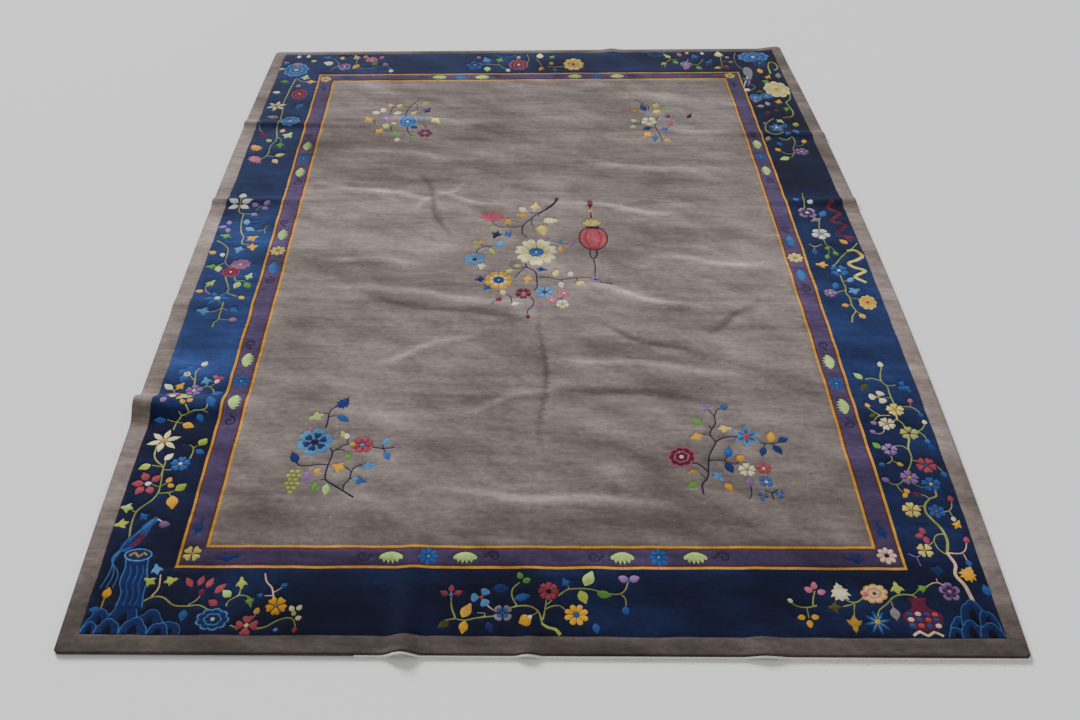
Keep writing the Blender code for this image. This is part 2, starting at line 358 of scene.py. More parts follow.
STEMS = (
    # near left corner
    Stem("sage", 0.9, 0.7, ((-124.5, -141), (-125, -136), (-124.6, -131), (-121, -126.3), (-120, -123))),
    Stem("sage", 0.7, 0.5, ((-120, -123.5), (-120.3, -119.5), (-120.9, -114), (-121.2, -110.5))),
    Stem("sage", 0.6, 0.5, ((-120, -124), (-117, -123.8), (-116, -126))),
    Stem("sage", 0.6, 0.4, ((-117, -123.8), (-115, -122.3))),
    Stem("sage", 0.6, 0.5, ((-125, -131.5), (-127, -130))),
    Stem("bronze", 0.8, 0.6, ((-124.3, -168.5), (-126, -166.5), (-126, -162))),
    Stem("sage", 0.8, 0.6, ((-115, -163.6), (-112.5, -162.1), (-109.5, -162.3), (-106, -164.8),
                            (-102, -165), (-98.5, -164.8), (-94.5, -167.4))),
    Stem("peach", 0.6, 0.8, ((-112.2, -154.3), (-111.7, -159), (-113, -162))),
    Stem("sage", 0.6, 0.5, ((-102, -164.8), (-100, -163), (-99.3, -161.3))),
    Stem("sage", 0.7, 0.5, ((-91.3, -165), (-91, -163.4), (-88.3, -161.5), (-86, -161.7), (-85.2, -162.8))),
    Stem("sage", 0.6, 0.5, ((-88.3, -161.4), (-88.4, -158.5))),
    Stem("sage", 0.8, 0.6, ((-88.8, -171.2), (-86.5, -172))),
    Stem("sage", 0.8, 0.6, ((-81.8, -172.3), (-79, -171.7), (-76.3, -169.8), (-73.5, -168.8),
                            (-71.5, -169.3), (-70.4, -171.6))),
    Stem("sage", 0.5, 0.5, ((-83, -169.3), (-82.3, -167.6))),
    Stem("peach", 0.6, 0.8, ((-82.3, -153.8), (-81.4, -156.6), (-79.4, -158.8), (-78.4, -161.5),
                             (-78, -163.2))),
    Stem("peach", 0.5, 0.4, ((-78.6, -160.6), (-76.6, -158.9))),
    Stem("peach", 0.5, 0.4, ((-78.6, -161.6), (-81, -161.5))),
    # near border, middle
    Stem("sage", 0.8, 0.6, ((-25.6, -168.6), (-27, -164.8), (-27.4, -161.3))),
    Stem("sage", 0.6, 0.7, ((-28.6, -169.2), (-25.6, -168.7), (-23.2, -169.2), (-19.5, -168.4),
                            (-14.5, -168))),
    Stem("sage", 0.5, 0.4, ((-17.5, -168.2), (-17.2, -167), (-19.5, -166.8))),
    Stem("peach", 0.6, 0.6, ((-18.6, -162.2), (-17.2, -164), (-15, -166))),
    Stem("sage", 0.6, 0.7, ((-7.6, -156.8), (-9.6, -158.8), (-9.8, -161.5), (-8.3, -164.4))),
    Stem("sage", 0.7, 0.9, ((-11, -165.6), (-8.2, -164.7), (-4.6, -164.9), (-2, -166.6), (-0.9, -170.6))),
    Stem("yellow_green", 1.0, 1.6, ((-0.9, -170.4), (0.8, -171.6), (2.8, -172.2), (4.2, -174))),
    Stem("sage", 0.5, 0.4, ((-2.2, -166.6), (-4.2, -168))),
    Stem("sage", 0.9, 0.5, ((-0.8, -169), (-0.1, -165.5), (0.3, -162.3))),
    Stem("sage", 0.6, 0.5, ((0.1, -164.4), (2, -162.4))),
    Stem("sage", 0.6, 0.5, ((0, -165.6), (1.8, -164.5), (4.3, -164.3), (5.6, -165.6))),
    Stem("sage", 0.7, 0.6, ((3.8, -161), (6.2, -159), (9, -158.6), (13, -158.9), (18, -160.3),
                            (21.5, -160.4),
                            (23.3, -159), (24.3, -156.4))),
    Stem("sage", 0.6, 0.5, ((21.8, -160.4), (23.2, -162), (23.2, -164.4))),
    Stem("sage", 0.5, 0.4, ((6.7, -158.9), (6.9, -157.5))),
    # near right corner
    Stem("sage", 0.5, 0.8, ((71, -162.8), (72.6, -164.1), (75.5, -164.6), (78.6, -164))),
    Stem("sage", 0.7, 0.5, ((77.4, -164), (78, -161.6), (78.9, -159.2))),
    Stem("sage", 0.6, 0.5, ((75.5, -164.6), (75.3, -168))),
    Stem("sage", 0.6, 0.7, ((86.8, -161.4), (88, -162.8), (90, -163), (92.4, -161.4))),
    Stem("sage", 0.6, 0.5, ((86, -164.5), (88.6, -163.8), (89.6, -163.2), (89, -165), (88.5, -167.4))),
    Stem("sage", 0.6, 0.8, ((95.2, -168), (96.2, -165.6), (99.2, -163.3), (101.6, -161), (104.5, -160.2),
                            (107.4, -160.8), (108.3, -163))),
    Stem("sage", 0.5, 0.4, ((100.4, -162.4), (100.6, -165))),
    Stem("sage", 0.5, 0.4, ((107, -160.4), (109, -159))),
    Stem("peach", 0.5, 0.5, ((112.2, -157.4), (114.5, -156.3), (116.3, -156.5), (117.9, -158))),
    Stem("peach", 0.4, 0.4, ((115.8, -156.4), (115.6, -154.8))),
    Stem("peach", 1.7, 1.3, ((124.3, -162.5), (123.4, -157.3), (121.6, -153.6), (122.6, -150),
                             (121.4, -145.8))),
    Stem("sage", 1.3, 0.9, ((121.4, -146), (122.6, -141.5), (122, -137), (120.2, -133.4), (119, -130.6),
                            (119.6, -127.8), (121.7, -125.6), (123.9, -124.6), (124.2, -122))),
    Stem("sage", 0.6, 0.6, ((121, -146.3), (119, -144), (118.8, -141), (120.2, -139.4), (122, -139.2))),
    Stem("sage", 0.5, 0.5, ((118.8, -141.6), (116.6, -143.2))),
    Stem("peach", 0.7, 0.5, ((121.2, -145.8), (125.4, -146), (127.2, -144.4), (128.1, -142))),
    Stem("peach", 0.5, 0.4, ((126, -145.8), (126.5, -148.6))),
    Stem("lilac", 0.5, 0.5, ((109.6, -146.1), (111.9, -147.4), (113.4, -146.4))),
    Stem("lilac", 0.5, 0.4, ((111.9, -147.4), (112.2, -150.6))),
    # right border, near group
    Stem("sage", 0.5, 0.5, ((117, -128.6), (119.4, -128.3))),
    Stem("sage", 0.6, 0.5, ((124.3, -130.6), (126.2, -130.1), (127.4, -128.5), (127.9, -126.6))),
    Stem("sage", 0.5, 0.4, ((126.2, -130.4), (126.6, -132.3))),
    Stem("sage", 0.5, 0.5, ((119.4, -123.9), (120.6, -124.4), (121.5, -125.6))),
    Stem("sage", 0.6, 0.6, ((110.4, -119), (111.8, -119.9), (113.8, -119.7), (115.6, -117.8))),
    Stem("sage", 0.6, 0.5, ((112.9, -120), (113.2, -121.6), (114.2, -123))),
    Stem("sage", 0.5, 0.5, ((118, -119.3), (120.3, -120.8), (121.8, -121))),
    Stem("sage", 0.6, 0.6, ((120, -110), (122.8, -109.8))),
    Stem("sage", 0.5, 0.5, ((127.3, -112.3), (128.4, -114.4))),
    Stem("sage", 0.9, 0.7, ((121.8, -100.5), (120.5, -104.6), (120.6, -108.4), (119.4, -111.7),
                            (117.3, -115))),
    Stem("sage", 0.5, 0.5, ((116.3, -103.8), (118.8, -103.7), (120.4, -105.3))),
    Stem("sage", 0.6, 0.5, ((114.2, -107.8), (114, -110), (112, -111.3))),
    Stem("sage", 0.5, 0.4, ((114, -110), (115.4, -111))),
    Stem("sage", 0.7, 0.6, ((123.6, -97), (125.4, -97.1), (127.1, -95.8), (128.2, -94))),
    Stem("sage", 0.5, 0.5, ((125.3, -97.3), (126.7, -99), (127, -100.4))),
    Stem("sage", 0.6, 0.6, ((111.6, -98), (113.3, -98.1), (114.6, -97), (115, -95.2))),
    Stem("sage", 0.7, 0.8, ((121.6, -95.8), (121.2, -93.6), (119.8, -92), (118.4, -92.7))),
    Stem("yellow", 0.9, 0.6, ((119.9, -92), (120.3, -88.5))),
    Stem("sage", 0.6, 0.5, ((118.2, -90), (114.9, -90), (113.4, -91), (112.4, -92.3))),
    Stem("sage", 0.5, 0.5, ((114.8, -89.8), (113, -88), (111.9, -86.4))),
    Stem("sage", 0.6, 0.5, ((122.3, -86), (125.2, -85.8), (127.1, -86.9), (128.1, -88.6))),
    Stem("sage", 0.4, 0.4, ((126, -85.6), (126.2, -84.4))),
    Stem("sage", 0.8, 0.6, ((120.8, -84.6), (120.5, -80), (120.7, -76), (119.4, -73.3), (119.8, -70),
                            (120.9, -66.4))),
    Stem("sage", 0.6, 0.7, ((119.6, -73.6), (117.9, -72.6), (116.2, -72), (114.2, -72.6))),
    Stem("sage", 0.6, 0.8, ((120.6, -75.5), (122.2, -75.6), (123.6, -75.3))),
    Stem("sage", 0.5, 0.5, ((118, -81.4), (120.4, -81.5))),
    # right border, middle group
    Stem("sage", 0.5, 0.7, ((115.7, 42.4), (115, 38), (114.6, 34), (114.2, 31))),
    Stem("sage", 0.8, 0.6, ((118.8, 24), (117.6, 19.5), (117, 15.5), (117, 9.5), (117.2, 5))),
    Stem("sage", 0.5, 0.4, ((117.2, 5.5), (119.3, 2.8), (119.6, 0.6))),
    Stem("sage", 0.4, 0.4, ((117.6, 3.6), (117.5, 0.5), (116.6, -1.2))),
    Stem("peach", 0.5, 0.4, ((110.8, 6), (112.4, 4.1), (115.6, 5.6))),
    Stem("peach", 0.4, 0.4, ((112.4, 4.2), (112.2, 2.6))),
    Stem("sage", 0.7, 0.8, ((129.4, 6.4), (127, 3.1), (124, 0.2), (121, -3.4), (118.4, -7.2),
                            (116.6, -8.8))),
    Stem("sage", 0.8, 0.8, ((118.4, -14.5), (118.5, -19), (118.7, -22), (118, -25.2), (118.8, -28.5),
                            (118.7, -33),
                            (119.3, -36), (117.4, -38.8), (116.4, -42.4))),
    Stem("sage", 0.5, 0.5, ((114.2, -25.3), (118.1, -23.6))),
    Stem("sage", 0.5, 0.4, ((118.6, -18.6), (120.4, -18))),
    Stem("sage", 0.5, 0.5, ((118.9, -28.3), (122.4, -29))),
    Stem("sage", 0.5, 0.5, ((118.7, -32.6), (117.4, -32.7))),
    Stem("sage", 0.5, 0.5, ((119.3, -36), (120.6, -37.4))),
    # far right corner
    Stem("sage", 1.0, 0.8, ((128.8, 129), (127.8, 124), (125.2, 120.5), (126, 115.5), (126.3, 111),
                            (124.8, 107),
                            (120.5, 106))),
    Stem("sage", 0.8, 0.8, ((116.2, 105.6), (112.7, 102), (110.6, 97), (111, 91.5), (114.2, 89.8),
                            (117.5, 91.5))),
    Stem("sage", 0.8, 0.7, ((115, 87.6), (117.8, 85.8), (120.8, 88), (121.2, 83.5), (119.4, 79), (119, 74.6),
                            (117, 70.8))),
    Stem("sage", 0.6, 0.5, ((125, 83), (123.6, 81.2), (121, 80.8))),
    Stem("sage", 0.6, 0.5, ((118.8, 74.4), (116, 73.8), (113.6, 76))),
    Stem("yellow_green", 1.3, 1.1, ((124, 150), (124.2, 157), (126, 161.6), (128.6, 160), (128.8, 155.6),
                                    (126.6, 153.4))),
    Stem("grey", 0.8, 0.6, ((110.1, 173.4), (108.6, 168), (108.4, 160), (110.6, 155))),
    Stem("grey", 0.9, 0.7, ((113.6, 150), (113.2, 145.5), (110.8, 141), (113.4, 136), (109.6, 132.4))),
    # far border, right of the middle
    Stem("sage", 0.6, 0.6, ((69.6, 157.6), (72.8, 165), (77.5, 166.4))),
    Stem("sage", 0.6, 0.6, ((83.4, 166), (82.2, 162), (83, 158.4))),
    Stem("sage", 0.6, 0.6, ((84, 160.8), (88, 160.6), (91.6, 166))),
    Stem("sage", 0.7, 0.6, ((100, 156.6), (100.6, 162), (101.2, 168.5))),
    Stem("sage", 0.5, 0.5, ((100.8, 163), (104, 164.4))),
    # far border, middle
    Stem("sage", 0.7, 0.6, ((-17.8, 162.5), (-16.6, 160), (-13.6, 157))),
    Stem("sage", 0.6, 0.6, ((-2.6, 162.4), (-1.4, 168), (-2.4, 173))),
    Stem("sage", 0.6, 0.6, ((2.4, 168), (4, 164.4), (5.2, 160))),
    Stem("sage", 0.6, 0.6, ((8, 159.4), (12.5, 158.6), (18, 160))),
    Stem("sage", 0.6, 0.6, ((-27.4, 162), (-24, 162.6), (-18, 161.4))),
    # far left corner and border
    Stem("sage", 0.9, 0.7, ((-120.3, 147), (-120.8, 140), (-121.3, 132), (-121.8, 124), (-121.2, 117),
                            (-120.8, 108),
                            (-121, 99), (-119.8, 92), (-119.6, 87))),
    Stem("sage", 0.6, 0.5, ((-129.2, 102), (-128, 97.4), (-126.4, 95.4))),
    Stem("sage", 0.7, 0.6, ((-119.5, 88), (-121, 83), (-120.8, 78), (-121.4, 74.6), (-123.4, 71.4))),
    Stem("sage", 0.5, 0.5, ((-121.2, 75), (-118, 73.8))),
    Stem("sage", 0.5, 0.5, ((-119.8, 91), (-117.6, 89), (-117, 86))),
    Stem("grey", 0.7, 0.5, ((-104.2, 170), (-100.8, 163.4), (-104.6, 157))),
    Stem("grey", 0.7, 0.6, ((-90.4, 159), (-84, 158.8), (-79, 160.6), (-76, 161), (-73.2, 157.4))),
    Stem("sage", 0.6, 0.6, ((-120, 148), (-117, 145), (-113.8, 144.6))),
    Stem("sage", 0.6, 0.6, ((-92.2, 168.5), (-91.6, 164))),
    # left border, middle group
    Stem("sage", 0.8, 0.6, ((-124.9, 40.5), (-124.6, 34), (-124.2, 30), (-122.5, 28.6), (-119.6, 28.4))),
    Stem("sage", 0.7, 0.6, ((-122.2, 28.8), (-121.9, 21), (-121, 15.5), (-119.5, 12), (-119.2, 7.4),
                            (-116.4, 6.6))),
    Stem("sage", 0.4, 0.4, ((-118, 31), (-116.2, 34.6))),
    Stem("sage", 0.4, 0.4, ((-112, 14.6), (-112.6, 17.5), (-111.6, 20.6))),
    Stem("sage", 0.4, 0.4, ((-112.6, 17.2), (-115.2, 16))),
    Stem("sage", 0.7, 0.6, ((-128.6, 9.6), (-126, 7.2), (-123.5, 3.6), (-123, -1), (-122.8, -5.6),
                            (-119.4, -9.2))),
    Stem("sage", 0.5, 0.5, ((-122.9, -5.6), (-125.2, -7))),
    Stem("sage", 0.8, 0.6, ((-121.2, -14.4), (-120, -18.2), (-118.9, -22), (-118.7, -24.6), (-115, -26.6))),
    Stem("sage", 0.6, 0.5, ((-118, -14.4), (-117, -17.2), (-115.4, -16.8), (-113.6, -17.4))),
    Stem("sage", 0.6, 0.5, ((-126.7, -20.4), (-126.4, -22.8), (-124.4, -25.2))),
    Stem("sage", 0.5, 0.5, ((-118.7, -24.4), (-120.6, -26.4))),
    Stem("sage", 0.8, 0.6, ((-118.8, -30.4), (-118.6, -34), (-118.9, -37.4), (-118.8, -40), (-120, -41.4),
                            (-120.1, -44.4))),
    Stem("sage", 0.5, 0.5, ((-118.7, -33.8), (-116.6, -35))),
    Stem("sage", 0.5, 0.5, ((-118.8, -34), (-120.4, -35.2), (-122.2, -35.8))),
    Stem("sage", 0.5, 0.4, ((-118.8, -40), (-115.4, -40))),
    # left border, near group
    Stem("sage", 0.6, 0.8, ((-119.4, -66.4), (-120.5, -68.2), (-120.2, -71.6), (-119.7, -75.6))),
    Stem("sage", 0.5, 0.6, ((-122.6, -69.8), (-120.3, -72.8))),
    Stem("sage", 0.6, 0.7, ((-117.2, -77.2), (-115.6, -75.8), (-113.6, -77), (-112.6, -79))),
    Stem("sage", 0.5, 0.5, ((-115.6, -75.8), (-115.9, -74.2))),
    Stem("sage", 0.5, 0.4, ((-114.6, -76.4), (-113.4, -74.8))),
    Stem("sage", 0.5, 0.6, ((-126.8, -77), (-125.6, -77.8), (-124.6, -77))),
    Stem("sage", 0.6, 0.6, ((-125.6, -77.8), (-125.2, -79))),
    Stem("sage", 0.8, 0.7, ((-119.7, -86.6), (-118.8, -88.4), (-118.4, -89.9), (-120.4, -90.8),
                            (-120.9, -92),
                            (-121.6, -93.4), (-121.8, -96.6))),
    Stem("sage", 0.8, 0.6, ((-118.4, -89.9), (-116.6, -88.8), (-114.2, -88.7), (-113, -87.4),
                            (-113, -85.4))),
    Stem("sage", 0.6, 0.4, ((-114.4, -88.7), (-112.3, -89.4))),
    Stem("sage", 0.6, 0.5, ((-121.5, -89.2), (-120.4, -90.8))),
    Stem("sage", 0.5, 0.5, ((-121.5, -93.3), (-124.6, -92.2))),
    Stem("sage", 0.5, 0.5, ((-121.5, -93.4), (-119.6, -93.4))),
    Stem("sage", 0.8, 0.7, ((-125, -101.6), (-125.1, -108), (-123.4, -111), (-121.2, -113),
                            (-120.9, -116.8))),
    Stem("sage", 0.6, 0.5, ((-121.4, -113), (-124.8, -112.3))),
    Stem("sage", 0.6, 0.5, ((-121, -114.2), (-118.4, -114.2))),
    Stem("sage", 0.8, 0.6, ((-113.9, -109.4), (-113.6, -106.2), (-114.1, -104.2), (-115.4, -103.4))),
    Stem("sage", 0.5, 0.5, ((-113.7, -104.8), (-112.8, -103.6))),
    Stem("sage", 0.5, 0.5, ((-123, -120), (-120.4, -121.2), (-118.6, -119.6))),
    # field, near left spray
    Stem("ink", 0.5, 0.7, ((-70.4, -85.6), (-72.6, -88.2), (-72.8, -93), (-73, -96))),
    Stem("ink", 0.5, 0.5, ((-74.2, -89.4), (-72.7, -89.2))),
    Stem("ink", 0.5, 0.5, ((-72.7, -90.6), (-70.4, -90.3))),
    Stem("ink", 0.6, 0.9, ((-74, -102.8), (-70.8, -104.6), (-69.4, -107), (-69.9, -112), (-70, -117.6),
                           (-68, -119.9),
                           (-64.5, -122.4), (-60, -125.4))),
    Stem("ink", 0.6, 0.5, ((-69.3, -106.2), (-67, -104.3), (-65, -102.9), (-65, -100.6))),
    Stem("ink", 0.5, 0.4, ((-68.8, -105.9), (-67, -105.3), (-65.4, -106.1))),
    Stem("ink", 0.4, 0.4, ((-65, -102.9), (-63.4, -103))),
    Stem("ink", 0.6, 0.5, ((-56.4, -104.3), (-53, -104.9), (-49.6, -104.5), (-48.2, -103.5))),
    Stem("ink", 0.5, 0.5, ((-53.2, -104.8), (-52.5, -103.2))),
    Stem("ink", 0.5, 0.5, ((-53, -104.9), (-51.5, -106.8))),
    Stem("ink", 0.6, 0.6, ((-69.9, -112), (-73, -111.8), (-76, -112.3), (-78.8, -112.2), (-80.4, -111))),
    Stem("ink", 0.6, 0.6, ((-59, -112), (-61, -113), (-62.1, -115), (-62.3, -118), (-63.8, -120.4),
                           (-63.8, -122.6))),
    Stem("ink", 0.5, 0.5, ((-64.6, -112.8), (-62.2, -114.6))),
    Stem("ink", 0.4, 0.4, ((-71.4, -118.4), (-70, -118.2))),
    Stem("ink", 0.4, 0.4, ((-62.2, -117.6), (-60.8, -117.8))),
    # field, near right spray
    Stem("ink", 0.5, 0.8, ((57.2, -87), (58.8, -90.5), (58.7, -94), (57, -96.6), (56.3, -99), (57.6, -102),
                           (55.9, -105.6), (54.6, -108.4), (53.9, -112), (53.4, -116), (52.4, -118.2),
                           (50.8, -120),
                           (50.8, -123.8))),
    Stem("ink", 0.6, 0.5, ((58.8, -90.6), (60, -87.6), (61.4, -86.6))),
    Stem("ink", 0.5, 0.4, ((57.2, -96.4), (56.4, -94.8))),
    Stem("ink", 0.5, 0.5, ((56.5, -99), (54, -98.8))),
    Stem("ink", 0.7, 0.5, ((57.4, -102), (60, -100.2), (63, -99.6), (66, -99.9))),
    Stem("ink", 0.5, 0.5, ((72.2, -102.2), (75, -102.8), (78.4, -102.3), (79.8, -101.4))),
    Stem("ink", 0.4, 0.4, ((74, -102.8), (73.4, -104.6))),
    Stem("ink", 0.4, 0.4, ((76.4, -102.8), (77, -104.2))),
    Stem("ink", 0.7, 0.7, ((48.4, -111), (51, -111.9), (53.4, -114.8))),
    Stem("ink", 0.5, 0.5, ((54.4, -110), (57, -109.9), (59.6, -110), (60.6, -108))),
    Stem("ink", 0.4, 0.4, ((59.7, -110.4), (60.2, -111.6))),
    Stem("ink", 0.4, 0.4, ((59.8, -110.2), (63, -111.5), (64.2, -110.6))),
    Stem("ink", 0.4, 0.5, ((50.8, -115.4), (52.4, -117.8))),
    Stem("ink", 0.6, 0.4, ((66.3, -121), (66.2, -124), (65.2, -126))),
    Stem("ink", 0.4, 0.7, ((70.4, -122.4), (72.6, -123.4), (74.6, -122.4))),
    Stem("ink", 0.6, 0.5, ((72.6, -123.2), (72.8, -126.2))),
    # field, far left spray
    Stem("ink", 0.5, 0.7, ((-56.6, 125), (-59.4, 121), (-61.4, 116), (-62.3, 111), (-62, 107))),
    Stem("ink", 0.4, 0.4, ((-58.6, 121.6), (-57.2, 119), (-57, 115.6))),
    Stem("ink", 0.6, 0.6, ((-60.8, 99), (-60.2, 94.6), (-58.4, 91))),
    Stem("grey", 0.8, 0.6, ((-62, 92.4), (-60.2, 86))),
    Stem("ink", 0.5, 0.5, ((-54.6, 103), (-52.4, 100), (-51.8, 95.4))),
    Stem("ink", 0.5, 0.5, ((-69.2, 118), (-69.8, 112), (-70, 107))),
    Stem("ink", 0.5, 0.5, ((-69.2, 117.2), (-66.6, 117.6))),
    Stem("ink", 0.5, 0.5, ((-76.8, 105), (-76.2, 100.8))),
    Stem("ink", 0.5, 0.5, ((-71.4, 96), (-68.6, 96.2), (-68.6, 99))),
    # field, far right spray
    Stem("ink", 0.5, 0.6, ((51, 124), (53.6, 120.6), (56.8, 117.4), (56.2, 113.6))),
    Stem("ink", 0.6, 0.6, ((60.6, 107.4), (59, 103), (58.4, 96.4), (59.6, 91), (60.2, 84.6))),
    Stem("ink", 0.5, 0.5, ((48.4, 101.6), (51, 100.4), (52, 104))),
    Stem("ink", 0.5, 0.5, ((58.6, 96.4), (55.6, 96.8), (53.4, 95.6))),
    # field, middle
    Stem("ink", 2.0, 1.3, ((8.6, 39.2), (7.6, 35.8), (4.6, 32.2), (0.6, 28))),
    Stem("ink", 0.9, 0.6, ((1.6, 28.8), (-0.8, 28), (-3.6, 28.2))),
    Stem("ink", 0.8, 0.6, ((0.4, 28), (-2.6, 24.6), (-5, 21), (-6.5, 18.6), (-6.6, 13.4), (-4.6, 10.6))),
    Stem("ink", 0.6, 0.4, ((0.4, 28), (0.2, 25))),
    Stem("ink", 0.5, 0.4, ((-2.6, 24.6), (-2.8, 20), (-1.2, 16.8))),
    Stem("ink", 0.6, 0.5, ((-6.6, 18.8), (-9, 18), (-13, 18), (-16.4, 18.4), (-18.4, 20.2), (-19.6, 22))),
    Stem("ink", 0.4, 0.4, ((-12.9, 18), (-12.8, 20))),
    Stem("ink", 0.5, 0.6, ((-19.4, 4.8), (-22.6, 4.4), (-25, 2.4), (-25.8, -1.6))),
    Stem("ink", 0.4, 0.4, ((-22.6, 4.5), (-24, 6))),
    Stem("ink", 0.4, 0.4, ((5, 9), (8.8, 6.6), (12, 6.2))),
    Stem("ink", 0.8, 0.6, ((-5.6, -6.4), (-5.2, -8.6), (-2.8, -10.9), (-1.4, -13), (-1, -18),
                           (-1.2, -21.6), (-2.4, -23.4))),
    Stem("ink", 0.5, 0.5, ((-5.4, -8.4), (-8, -12), (-9.8, -15.4))),
    Stem("ink", 0.5, 0.4, ((-5.4, -8.5), (-8, -9.8), (-10.4, -9.6), (-12, -7.8))),
    Stem("ink", 0.5, 0.5, ((-1.2, -15.4), (4, -15.8), (8, -17), (13.4, -16), (19, -15.6), (22.6, -16.8),
                           (24.4, -18.6), (28.6, -19.5))),
    Stem("ink", 0.4, 0.4, ((8.4, -16.8), (8.6, -18.4))),
    Stem("ink", 0.4, 0.4, ((14.6, -16), (14.8, -17.6))),
    Stem("ink", 0.5, 0.4, ((-18.6, -32), (-17.4, -29.8))),
    Stem("ink", 0.5, 0.5, ((-13, -26), (-11.4, -27.6), (-11, -31.2))),
    Stem("ink", 0.6, 0.5, ((-3.8, -27.4), (-2.6, -30), (-2.8, -32.6), (-4.8, -35.2), (-5, -37.4))),
    Stem("ink", 0.5, 0.5, ((4.8, -27), (7.4, -28.6), (9.2, -27.4))),
    Stem("ink", 0.4, 0.4, ((8, -28.6), (8.4, -30))),
)

